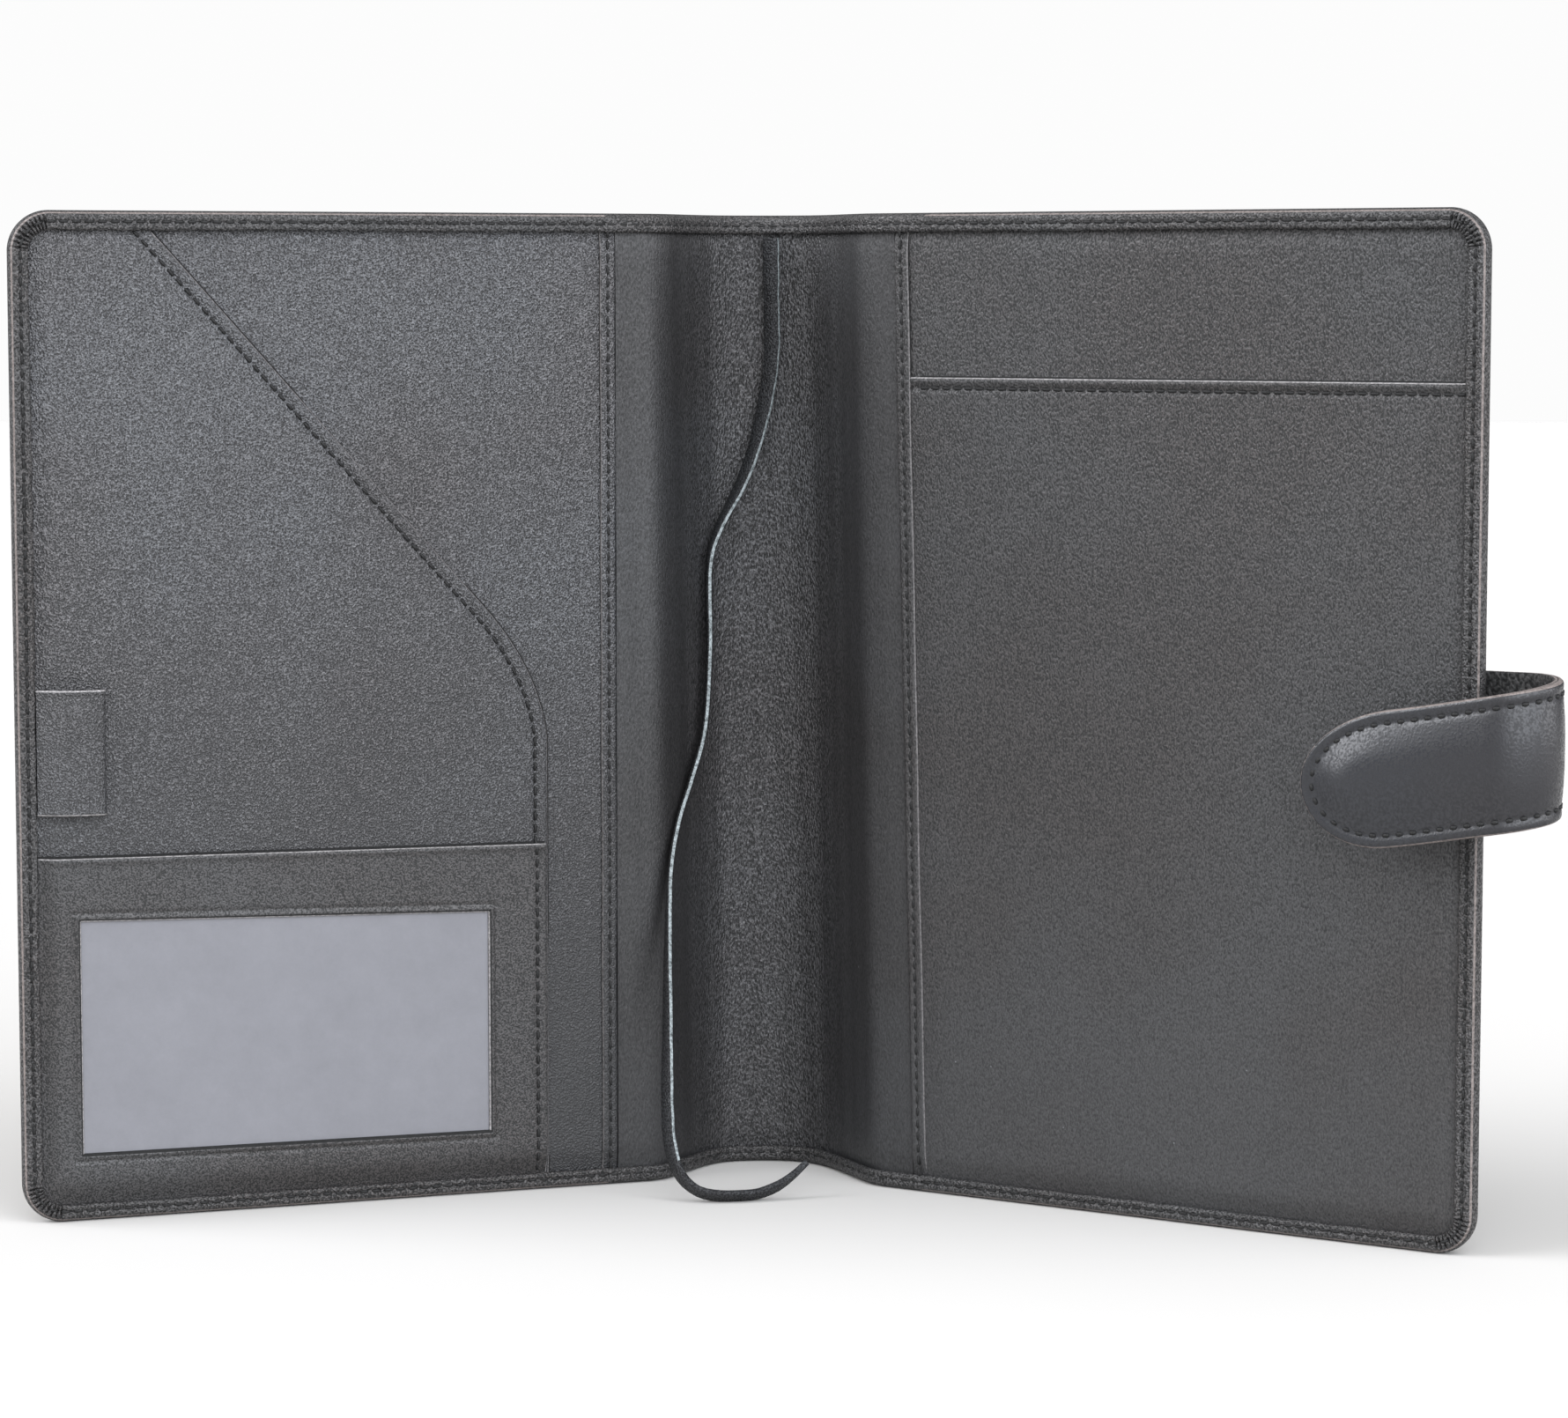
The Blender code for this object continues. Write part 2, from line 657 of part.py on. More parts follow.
def spine():
    shell = LEATHER[1]
    lip_low, lip_high = LIP
    section = [
        (0, 0), (0, HEIGHT), (lip_high, HEIGHT), (lip_high, HEIGHT - BORDER),
        (lip_low, HEIGHT - BORDER), (lip_low, HEIGHT - EDGE_WALL), (shell, HEIGHT - EDGE_WALL),
        (shell, EDGE_WALL), (lip_low, EDGE_WALL), (lip_low, BORDER), (lip_high, BORDER),
        (lip_high, 0),
    ]
    spine_layer("spine_leather", section, "leather")
    spine_layer("spine_reinforcement", box_section(REINFORCEMENT, TUCKED, HEIGHT - TUCKED), "cloth", 7)
    spine_layer("spine_lining", box_section(SPINE_LINING, TUCKED, HEIGHT - TUCKED), "lining_leather")
    seam = (LIP[1] + GAP, LIP[1] + GAP + THREAD)
    half = THREAD_HALF_WIDTH
    for name, height in (("spine_foot_thread", SEAM_INSET), ("spine_head_thread", HEIGHT - SEAM_INSET)):
        spine_layer(name, box_section(seam, height - half, height + half), "thread", 1)


def smooth_route(points, spacing):
    """Points evenly spaced on a Catmull-Rom curve through the given ones."""
    knots = [Vector(point) for point in points]
    knots = [knots[0] * 2 - knots[1]] + knots + [knots[-1] * 2 - knots[-2]]
    fine = []
    for a, b, c, d in zip(knots, knots[1:], knots[2:], knots[3:]):
        for i in range(24):
            t = i / 24
            fine.append((2 * b + (c - a) * t + (2 * a - 5 * b + 4 * c - d) * t * t
                         + (3 * b - a - 3 * c + d) * t ** 3) / 2)
    fine.append(knots[-2])
    lengths = [0.0]
    for near, far in zip(fine, fine[1:]):
        lengths.append(lengths[-1] + (far - near).length)
    count = round(lengths[-1] / spacing)
    route = []
    place = 0
    for i in range(count + 1):
        wanted = lengths[-1] * i / count
        while place < len(fine) - 2 and lengths[place + 1] < wanted:
            place += 1
        share = (wanted - lengths[place]) / (lengths[place + 1] - lengths[place])
        route.append(fine[place].lerp(fine[place + 1], min(max(share, 0.0), 1.0)))
    return route


def bookmark_thong():
    points = [(x * MM, y * MM, z * MM) for x, y, z in THONG_ROUTE]
    route = smooth_route(points, THONG_SPACING * MM)
    curve = bpy.data.curves.new("bookmark_thong", "CURVE")
    curve.dimensions = "3D"
    curve.bevel_depth = THONG_WIDTH / 2
    curve.bevel_resolution = 2
    curve.use_fill_caps = True
    spline = curve.splines.new("POLY")
    spline.points.add(len(route) - 1)
    for knot, place in zip(spline.points, route):
        knot.co = (*place, 1.0)
    add_object("bookmark_thong", curve, "thong")


def main():
    clear_scene()
    spine()
    bookmark_thong()
    front_fold = add_empty("front_cover_fold", FRONT_FOLD, FRONT_ANGLE)
    back_fold = add_empty("back_cover_fold", BACK_FOLD, BACK_ANGLE)
    front_cover(front_fold)
    back_cover(back_fold)
    strap_fold = add_empty("strap_fold", (STRAP_ROOT[1], NEUTRAL - STRAP_HINGE_Y), 0.0)
    strap_fold.parent = back_fold
    strap(strap_fold)


main()
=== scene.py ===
"""The finished look of the leather notebook cover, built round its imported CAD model.

Lengths are millimetres until a mesh is made. A cover's own frame is (u, z, depth): u runs from its
fold to its outer edge, z is the height, and depth is measured inwards from its outer leather face.
"""

import json
import math

import bmesh
import bpy
import numpy as np
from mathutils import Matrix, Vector


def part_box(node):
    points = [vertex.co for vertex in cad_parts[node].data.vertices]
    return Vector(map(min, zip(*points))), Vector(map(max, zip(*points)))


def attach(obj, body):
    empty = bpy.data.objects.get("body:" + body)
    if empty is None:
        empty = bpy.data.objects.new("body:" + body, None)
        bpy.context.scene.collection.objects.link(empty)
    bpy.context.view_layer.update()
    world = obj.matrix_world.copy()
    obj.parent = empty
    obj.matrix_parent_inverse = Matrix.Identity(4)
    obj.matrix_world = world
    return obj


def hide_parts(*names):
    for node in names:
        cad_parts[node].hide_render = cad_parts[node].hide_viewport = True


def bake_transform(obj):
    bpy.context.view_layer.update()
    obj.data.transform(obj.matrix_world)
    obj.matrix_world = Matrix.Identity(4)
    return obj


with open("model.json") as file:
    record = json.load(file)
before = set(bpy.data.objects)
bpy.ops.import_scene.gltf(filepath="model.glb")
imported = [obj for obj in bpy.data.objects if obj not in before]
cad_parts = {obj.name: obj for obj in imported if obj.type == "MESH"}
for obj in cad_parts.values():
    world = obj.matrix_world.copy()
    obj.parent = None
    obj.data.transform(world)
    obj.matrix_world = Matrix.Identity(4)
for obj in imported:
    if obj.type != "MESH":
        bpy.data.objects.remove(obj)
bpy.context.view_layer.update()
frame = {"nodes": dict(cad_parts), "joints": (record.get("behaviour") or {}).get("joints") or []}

MM = 0.001

# Cover: the same driving sizes as the CAD model
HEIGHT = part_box("spine_leather")[1].z / MM
PANEL_WIDTH = 144.2
PANEL_START = 10.0
CORNER_RADIUS = 9.0
NEUTRAL = 2.0

# Gutter: the slopes of its flanks, the strips of the covers' planes that run on past their folds,
# and the bend after them
FRONT_SLOPE = math.radians(60)
BACK_SLOPE = math.radians(64)
FRONT_STRIP = 2.6
BACK_STRIP_HEAD = 5.8
BACK_STRIP_FOOT = 2.2
ROUND_OFF = 3.0

# Levels of the leather layers: the upper side, or (underside, upper side)
SHELL_SKIN = 1.2
BORDER_UNDER = 4.2
SLEEVE_TOP = 4.0
POCKET_TOP = 4.9
CARD_POCKET_TOP = 6.1
FILM_TOP = 5.42
LINING_TOP = 3.9
SPINE_CLOTH = (1.5, 2.3)

# Where the layers end under the border: their rows' first height, and how far from the outer edge
SHEET_FOOT = 1.8
SLEEVE_FOOT = 1.6
SLEEVE_END = PANEL_WIDTH - 2.2
POCKET_END = PANEL_WIDTH - 2.0

# Seams, with the levels of the border's and the bindings' stitches
STITCH_PITCH = 2.8
STITCH_LENGTH = 2.15
STITCH_RADIUS = 0.3
STITCH_SIDES = 6
BORDER_SEAM = 2.45
BORDER_SEAM_DEPTH = 5.08
BINDING_SEAM = 1.9
BINDING_SEAM_DEPTH = 4.72
# Stations along one stitch: (share of half its length, share of its radius, lift in radii)
STITCH_STATIONS = ((-1.0, 0.25, -0.9), (-0.82, 0.85, -0.15), (-0.3, 1.0, 0.3), (0.3, 1.0, 0.3),
                   (0.82, 0.85, -0.15), (1.0, 0.25, -0.9))

# Turned border: its closed section as (inset from the edge, depth), from the outer face round to
# the inside, and how many of its points after the first lie on the outer face
BORDER_STEP = 0.7
CORNER_STEPS = 88
PLEATS = 11
BORDER_PROFILE = (
    (7.0, 0.0), (3.2, 0.02), (1.9, 0.12), (1.0, 0.45), (0.4, 1.05), (0.08, 1.85), (0.0, 2.7),
    (0.1, 3.6), (0.42, 4.4), (0.75, 4.85), (1.1, 5.1), (1.5, 5.22), (1.9, 5.22), (2.2, 5.16),
    (2.45, 5.12), (2.7, 5.16), (3.0, 5.24), (3.4, 5.28), (3.8, 5.28), (4.15, 5.22), (4.45, 5.05),
    (4.65, 4.85), (4.7, 4.55), (4.62, 4.25), (4.3, BORDER_UNDER), (1.5, BORDER_UNDER),
    (1.3, SHELL_SKIN), (7.0, SHELL_SKIN),
)
FACE_PLACES = 5
# The places in the border's section between which its inner rim gets a painted highlight
HIGHLIGHT_RIM_PLACES = {8, 9}

# Front cover, inside: the diagonal pocket's free edge from its top to its foot as (u, z), the
# window's sides, and its foot and head lines and the card pocket's head from near to far
DIAGONAL_TOP = (112.6, 217.0)
DIAGONAL_KNEE = (38.3, 133.5)
DIAGONAL_BEND = (26.0, 119.5)
DIAGONAL_END = (24.1, 104.0)
POCKET_SEAM = 2.9
CARD_POCKET_NEAR = 24.8
CARD_POCKET_FOOT = 2.0
CARD_POCKET_HEAD = (79.8, 80.9)
WINDOW_U = (38.5, 130.9)
WINDOW_FOOT = (14.8, 15.3)
WINDOW_HEAD = (64.7, 66.8)
FILM_MARGIN = 3.0
PEN_LOOP_U = (125.0, 139.9)
PEN_LOOP_Z = (90.4, 118.0)

# Back cover, inside
BACK_POCKET_HEAD = 185.3
BACK_POCKET_SEAM = 2.4

# Strap: its ends and bend as u on the back cover, its plies' middle level, and its droop
STRAP_ROOT = (102.3, 144.5)
STRAP_ROOT_Z = 110.3
STRAP_HALF = 14.5
STRAP_MIDDLE = -1.4
STRAP_PLY = 1.1
STRAP_TOP = 1.05
STRAP_GLUE = 0.04
STRAP_BEND_U = 151.9
STRAP_BEND_RADIUS = 10.4
STRAP_TIP_U = 110.2
STRAP_TIP_LENGTH = 20.0
STRAP_DROOP = 8.9
STRAP_DROOP_LENGTH = 72.0
STRAP_SEAM = 2.7
STRAP_STEP = 1.2
# How far the neck pieces round its fold reach to each side, and how far to each side of the fold its two
# given points lie
STRAP_NECK = 9.0
STRAP_FOLD_REACH = 5.0
# Distances from the fold: the straight stretch, the bend, and the tip
STRAP_OUT = STRAP_BEND_U - STRAP_ROOT[1]
STRAP_BEND = math.pi * STRAP_BEND_RADIUS
STRAP_TOTAL = STRAP_OUT + STRAP_BEND + (STRAP_BEND_U - STRAP_TIP_U)
# Points across the strap, as shares of its half width from the edge to the middle
TAB_SHARES = (1.0, 0.995, 0.975, 0.94, 0.9, 0.87, 0.84, 0.805, 0.77, 0.74, 0.68, 0.5, 0.25, 0.0)
ROOT_SHARES = (1.0, 0.99, 0.965, 0.93, 0.89, 0.85, 0.82, 0.79, 0.75, 0.6, 0.3, 0.0)

# Bookmark thong: its route is the CAD model's, from the spine's top border to the tip. Its turns
# are from face on, in degrees, for each share of its length
THONG_WIDTH = 3.8
THONG_THICKNESS = 1.25
THONG_BEVEL = 0.28
THONG_TURNS = ((0.0, -26.0), (0.12, -30.0), (0.2, -50.0), (0.3, -80.0), (0.6, -86.0), (0.72, -66.0),
               (0.82, -50.0), (1.0, -54.0))
THONG_ROUTE = (
    (0.9, -3.9, 216.8), (1.1, -4.1, 203), (0.9, -4.5, 187), (-2.2, -5.2, 171), (-6.0, -6.4, 160),
    (-11.0, -8.6, 150), (-13.3, -10.2, 141), (-13.3, -10.8, 122), (-14.4, -12.2, 104),
    (-17.4, -15.8, 92.5), (-20.3, -20.6, 83), (-22.0, -25.2, 72), (-22.5, -30, 54),
    (-22.5, -34.4, 40), (-22.5, -38.6, 30), (-22.4, -42.6, 21), (-21.8, -46, 13),
    (-19.6, -48.8, 6.4), (-16.0, -50.3, 3.0), (-12.0, -50.6, 1.8), (-7.0, -49.9, 1.5),
    (-2.0, -48.6, 1.7), (2.6, -47.2, 3.2), (6.2, -46.1, 5.6), (9.2, -45.1, 8.3),
)

# Camera
CAMERA_PLACE = (0.004, -1.0296, 0.204)
CAMERA_PITCH = math.radians(5.38)
CAMERA_LENS = 101.3

# Light: the white behind the object, and the dome as an even base with lobes, each a direction, the
# cosine at which it begins, and its colour
BACKDROP = 0.975
DOME_BASE = (0.26, 0.26, 0.265)
DOME_LOBES = (
    ((0.0, -1.0, 0.3), -0.3, (0.27, 0.27, 0.27)),
    ((0.4, -0.85, 0.42), 0.6, (3.35, 3.5, 3.75)),
    ((-0.88, -0.1, 0.55), 0.86, (6.5, 6.6, 6.9)),
    ((1.0, -0.15, 0.1), 0.86, (3.0, 3.0, 3.1)),
    ((0.0, -0.35, 0.93), 0.3, (0.83, 0.83, 0.83)),
)
FLOOR_TONES = ((0.3, (0.528, 0.517, 0.499)), (0.7, (0.541, 0.53, 0.512)))
FLOOR_REACH = 6000.0


# ---------------------------------------------------------------- materials


def feed(tree, node, inputs):
    """Sets a node's inputs, by name or place, to values, or links them to other nodes' outputs."""
    for key, value in inputs.items():
        if isinstance(value, bpy.types.NodeSocket):
            tree.links.new(value, node.inputs[key])
        else:
            node.inputs[key].default_value = value


def add_node(tree, kind, inputs, **settings):
    node = tree.nodes.new("ShaderNode" + kind)
    for key, value in settings.items():
        setattr(node, key, value)
    feed(tree, node, inputs)
    return node


def calculated(tree, operation, *values):
    return add_node(tree, "Math", dict(enumerate(values)), operation=operation).outputs[0]


def mapped(tree, value, start, end, low, high):
    inputs = {"Value": value, "From Min": start, "From Max": end, "To Min": low, "To Max": high}
    return add_node(tree, "MapRange", inputs).outputs["Result"]


def mixed(tree, first, second, factor=1.0, blend="MULTIPLY"):
    inputs = {"Factor": factor, "A": first, "B": second}
    return add_node(tree, "Mix", inputs, data_type="RGBA", blend_type=blend).outputs["Result"]


def noise(tree, place, scale, detail, roughness=0.5, distortion=0.0):
    inputs = {"Vector": place, "Scale": scale, "Detail": detail, "Roughness": roughness,
              "Distortion": distortion}
    return add_node(tree, "TexNoise", inputs).outputs["Fac"]


def bump(tree, height, strength, distance):
    inputs = {"Height": height, "Strength": strength, "Distance": distance}
    return add_node(tree, "Bump", inputs).outputs["Normal"]


def ramp(tree, source, *stops):
    """A colour ramp from a value, with two stops of (place, grey or colour)."""
    node = add_node(tree, "ValToRGB", {"Fac": source})
    for element, (place, color) in zip(node.color_ramp.elements, stops):
        element.position = place
        element.color = (*np.broadcast_to(color, 3), 1.0)
    return node.outputs["Color"]


def new_material(name):
    """A material, its node tree, its shader and the object's coordinates."""
    material = bpy.data.materials.new(name)
    material.use_nodes = True
    tree = material.node_tree
    place = add_node(tree, "TexCoord", {}).outputs["Object"]
    return material, tree, tree.nodes["Principled BSDF"], place


# A leather: how much the soft patches move its tone, half the tone's way from a crease to a ridge, the
# heights between which the grain is worn and painted shade falls at the foot, and how far from the spine's
# middle it is pulled flat and darkened by painted shade, in metres
PATCHINESS = 0.12
TONE_HALF = 0.11
FOOT_WEAR_AND_SHADE_HEIGHTS = (0.03, 0.17)
TAUT_AND_SHADED_FROM_TO = (0.011, 0.019)
DUST_COLOR = (0.2, 0.21, 0.22, 1.0)


def leather(name, dark, light, rough, cell=0.37, relief=0.3, along=0.85, dust=0.0, foot_wear_and_shade=0.0,
            shine=0.5, painted_shade=0.0, taut_and_shaded_flanks=False):
    """Dyed leather: a fine worming grain, its cells that many millimetres wide and longer along z.

    Its creases are dark and its ridges light and glossier. Soft patches vary the tone at random and tint it
    cool in places, a tint that also stands in for a bluish sheen as a painted reflection, and dust adds a
    share of small pale specks. The grain is worn away by a share towards the foot, and on the spine it is
    also pulled flat to both sides. Where the grain is flat, towards the foot and on the spine's flanks, the
    leather is darker by its painted shade.
    """
    material, tree, shader, place = new_material(name)
    drawn = add_node(tree, "VectorMath", {0: place, 1: (1.0, 1.0, along)}, operation="MULTIPLY")
    grain = noise(tree, drawn.outputs["Vector"], 1.0 / (cell * MM), 1.0, 0.35, 0.3)
    split = add_node(tree, "SeparateXYZ", {"Vector": place}).outputs
    kept = mapped(tree, split["Z"], *FOOT_WEAR_AND_SHADE_HEIGHTS, 1.0 - foot_wear_and_shade, 1.0)
    if taut_and_shaded_flanks:
        sideways = calculated(tree, "ABSOLUTE", split["X"])
        kept = calculated(tree, "MULTIPLY", kept, mapped(tree, sideways, *TAUT_AND_SHADED_FROM_TO, 1.0, 0.25))
    height = calculated(tree, "MULTIPLY_ADD", calculated(tree, "SUBTRACT", grain, 0.5), kept, 0.5)

    patches = noise(tree, place, 14.0, 3.0)
    tone = calculated(tree, "MULTIPLY_ADD", patches, PATCHINESS, height)
    # Painted shade: where the grain is flat, towards the foot and on the spine's flanks, the tone is pulled
    # darker
    if painted_shade:
        tone = calculated(tree, "MULTIPLY_ADD", kept, painted_shade, tone)
    middle = 0.5 + PATCHINESS / 2 + painted_shade
    crease, ridge = middle - TONE_HALF, middle + TONE_HALF
    # A cool tint in soft patches: random tone, and also a painted bluish sheen in place of reflected light
    tint_and_painted_sheen = ramp(tree, patches, (0.4, (0.9, 0.87, 0.86)), (0.62, (0.92, 0.97, 1.0)))
    color = mixed(tree, ramp(tree, tone, (crease, dark), (ridge, light)), tint_and_painted_sheen)
    if dust:
        specks = add_node(tree, "TexVoronoi", {"Vector": place, "Scale": 210.0, "Randomness": 1.0})
        near = ramp(tree, specks.outputs["Distance"], (0.02, 1.0), (0.045, 0.0))
        chosen = ramp(tree, specks.outputs["Color"], (1.0 - dust, 0.0), (1.0, 1.0))
        color = mixed(tree, color, DUST_COLOR, mixed(tree, near, chosen), "MIX")
    feed(tree, shader, {
        "Base Color": color,
        "Roughness": ramp(tree, tone, (crease, rough + 0.22), (ridge, rough - 0.08)),
        "Normal": bump(tree, height, 1.0, relief * MM),
        "Specular IOR Level": shine,
    })
    return material


def noisy(name, coarse, color, rough, relief=None, fine=None, other=()):
    """A material from a noise of (scale, detail, roughness), with two stops of its colour.

    Its roughness is a number or two stops, and its relief is (strength, distance in metres). Both
    follow the fine noise where there is one. Other values go to the shader's own sockets.
    """
    material, tree, shader, place = new_material(name)
    tint = noise(tree, place, *coarse)
    detail = noise(tree, place, *fine) if fine else tint
    feed(tree, shader, {
        "Base Color": ramp(tree, tint, *color),
        "Roughness": ramp(tree, detail, *rough) if isinstance(rough, tuple) else rough,
        **({"Normal": bump(tree, detail, *relief)} if relief else {}),
        **dict(other),
    })
    return material


def cut_edge_and_painted_light(name, dark, light, rough):
    """A fibrous edge material: the raw or painted cut edge of leather, paler than its face, and also painted
    highlights on rounded edges and painted shade in gaps.
    """
    return noisy(name, (1400.0, 5.0, 0.7), ((0.36, dark), (0.62, light)), rough, (0.7, 0.0001))


OUTER_LEATHER = leather("outer_leather", (0.004,) * 3, (0.06, 0.056, 0.055), 0.38, 0.45, 0.5)
OUTER_FACE = leather(
    "outer_face_leather", (0.004,) * 3, (0.034, 0.032, 0.032), 0.4, 0.5, 0.3, dust=0.1
)
FRONT_LEATHER = leather(
    "front_inner_leather", (0.002, 0.002, 0.003), (0.082, 0.08, 0.084), 0.36, relief=0.62, dust=0.15,
    foot_wear_and_shade=0.5, shine=0.82, painted_shade=0.3,
)
CARD_LEATHER = leather(
    "card_pocket_leather", (0.006,) * 3, (0.05, 0.047, 0.047), 0.4, relief=0.17, dust=0.15
)
BACK_LEATHER = leather(
    "back_inner_leather", (0.008,) * 3, (0.05, 0.047, 0.047), 0.42, 0.36, 0.34, 0.55, 0.3, 0.6
)
GUTTER_LEATHER = leather(
    "gutter_leather", (0.001,) * 3, (0.06, 0.058, 0.06), 0.41, 0.38, 0.55, 0.5, 0.35, 0.3, 0.6, 0.07,
    taut_and_shaded_flanks=True,
)
STRAP_LEATHER = leather(
    "strap_leather", (0.01, 0.01, 0.012), (0.022, 0.022, 0.025), 0.29, 0.5, 0.05
)
STRAP_UNDERSIDE = leather(
    "strap_underside", (0.003,) * 3, (0.03, 0.029, 0.028), 0.75, 0.8, 0.5
)
THONG_LEATHER = leather(
    "thong_leather", (0.001, 0.001, 0.002), (0.026, 0.027, 0.029), 0.5, 0.4, 0.5, shine=0.4
)
THONG_EDGE = cut_edge_and_painted_light("thong_cut_edge", (0.05, 0.06, 0.062), (0.32, 0.36, 0.37), 0.7)
# Pale edge paint on the strap's cut sides, also laid on rims as a painted highlight
STRAP_EDGE_PAINT_AND_HIGHLIGHT = cut_edge_and_painted_light("strap_edge_paint", (0.08, 0.066, 0.06), (0.2, 0.17, 0.16), 0.45)
# Pale paint on the rounded edges of pockets, the window and the pen loop: a painted highlight
PAINTED_EDGE_HIGHLIGHT = cut_edge_and_painted_light("painted_edge_highlight", (0.11, 0.105, 0.105), (0.34, 0.325, 0.325), 0.4)
# A dimmer painted highlight on the rounded edges of the bindings and the diagonal pocket
DIM_PAINTED_EDGE_HIGHLIGHT = cut_edge_and_painted_light("worn_edge", (0.05, 0.047, 0.047), (0.17, 0.16, 0.16), 0.5)
# Near black painted shade in gaps behind edges and on the sides of pieces
PAINTED_GAP_SHADE = cut_edge_and_painted_light("painted_gap_shade", (0.002,) * 3, (0.008,) * 3, 0.9)
# Bonded black thread, with its twist as fine bands
THREAD = noisy("thread", (3500.0, 2.0), ((0.3, 0.003), (0.7, 0.012)), 0.6, (0.6, 0.0001),
               other={"Specular IOR Level": 0.35})
# Frosted clear film over the dark pocket: blue-grey, faintly clouded and scuffed
FILM = noisy(
    "window_film", (60.0, 9.0, 0.85), ((0.3, (0.142, 0.143, 0.157)), (0.7, (0.176, 0.177, 0.194))),
    ((0.35, 0.3), (0.65, 0.42)), (0.25, 0.00006), (700.0, 6.0, 0.7),
)
BOARD = noisy("fibreboard", (600.0, 6.0, 0.7),
              ((0.3, (0.22, 0.18, 0.13)), (0.7, (0.36, 0.31, 0.24))), 0.9)
CLOTH = noisy("backing_cloth", (1800.0, 3.0), ((0.3, 0.015), (0.7, 0.05)), 0.95, (0.5, 0.0001))
STEEL = noisy("plated_steel", (900.0, 4.0), ((0.3, 0.5), (0.7, 0.66)), ((0.3, 0.25), (0.7, 0.4)),
              other={"Metallic": 1.0})


# ---------------------------------------------------------------- shapes


def smooth_step(value):
    value = np.clip(value, 0.0, 1.0)
    return value * value * (3 - 2 * value)


def edge_drop(distance, radius):
    """How far a rounded edge falls away at a distance from the edge."""
    inside = np.clip(radius - distance, 0.0, radius)
    return radius - np.sqrt(np.maximum(radius * radius - inside * inside, 0.0))


def dent(distance, width):
    """A soft groove of depth 1, as wide as width on each side."""
    return np.exp(-((distance / width) ** 2))


def between(pair, share):
    return pair[0] + (pair[1] - pair[0]) * share


def unit(vectors):
    return vectors / np.linalg.norm(vectors, axis=-1, keepdims=True)


def travelled(line):
    """How far along a line of points each of them is."""
    steps = np.linalg.norm(np.diff(line, axis=0), axis=1)
    return np.concatenate([[0.0], np.cumsum(steps)])


def evenly(line, count):
    """A line of points again, with even steps."""
    lengths = travelled(line)
    wanted = np.linspace(0, lengths[-1], count)
    return np.stack([np.interp(wanted, lengths, values) for values in line.T], axis=1)


def runs(*stretches):
    """Values along stretches of (start, end, step), each stop once."""
    values = []
    for start, end, step in stretches:
        count = max(1, round(abs(end - start) / step))
        values.extend(start + (end - start) * i / count for i in range(count))
    values.append(stretches[-1][1])
    return np.array(values)


def dense_end(count):
    """Shares from 0 to 1, close together near 1, where a sheet is drawn into the corners."""
    return np.concatenate([np.linspace(0, 0.88, count)[:-1], np.linspace(0.88, 1, 14)])


class Cover:
    """A cover's own frame in the row frame, its leather, and its binding strip's foot and head.

    The strip's foot and head are pairs of u, and its seam is a share of its width.
    """

    def __init__(self, name, degrees, side, leather, phase, strip_foot, strip_head, seam_share):
        angle = math.radians(degrees)
        joint = next(j for j in frame["joints"] if j["name"] == f"{name}_cover_fold")
        self.name = name
        self.body = f"{name}_cover"
        self.side = side
        self.leather = leather
        self.phase = phase
        self.strip = tuple(zip(strip_foot, strip_head))
        self.seam_share = seam_share
        self.fold = np.array(joint["pos_m"]) / MM
        self.along = side * np.array((math.cos(angle), math.sin(angle), 0.0))
        self.inward = np.array((math.sin(angle), -math.cos(angle), 0.0))

    def place(self, u, z, depth):
        u, z, depth = np.broadcast_arrays(*(np.asarray(part, float) for part in (u, z, depth)))
        points = self.fold + u[..., None] * self.along + (depth - NEUTRAL)[..., None] * self.inward
        points[..., 2] = z
        return points

    def strip_u(self, side, z):
        """Where the binding strip's near side, 0, or its far side, 1, is at a height."""
        return between(self.strip[side], z / HEIGHT)


FRONT = Cover("front", 19.3, -1, FRONT_LEATHER, 0.4, (7.5, 11.2), (7.5, 11.2), 0.52)
BACK = Cover("back", -31.3, 1, BACK_LEATHER, 1.1, (7.3, 11.1), (1.6, 5.3), 0.5)


def mesh_object(name, points, faces, material, sharp=50):
    mesh = bpy.data.meshes.new(name)
    mesh.from_pydata([tuple(point) for point in np.asarray(points).reshape(-1, 3) * MM], [], faces)
    mesh.materials.append(material)
    mesh.validate()
    mesh.shade_smooth()
    mesh.set_sharp_from_angle(angle=math.radians(sharp))
    made = bpy.data.objects.new(name, mesh)
    bpy.context.scene.collection.objects.link(made)
    return made


def outwards(made):
    """Turns the faces of a closed piece to the outside."""
    shape = bmesh.new()
    shape.from_mesh(made.data)
    bmesh.ops.recalc_face_normals(shape, faces=shape.faces)
    shape.to_mesh(made.data)
    shape.free()
    return made


def paint(made, material, chosen):
    """Gives the faces that a test chooses their own material."""
    made.data.materials.append(material)
    for polygon in made.data.polygons:
        if chosen(polygon):
            polygon.material_index = len(made.data.materials) - 1


def paint_rings(made, count, *looks, before=math.inf):
    """Paints the faces of a piece made of rings, by a test on their points' places in the rings."""
    for material, chosen in looks:
        paint(made, material, lambda polygon: max(polygon.vertices) < before
              and chosen({index % count for index in polygon.vertices}))


def cells(values):
    """The mean of a grid's values over each of its cells."""
    return (values[:-1, :-1] + values[1:, :-1] + values[:-1, 1:] + values[1:, 1:]) / 4


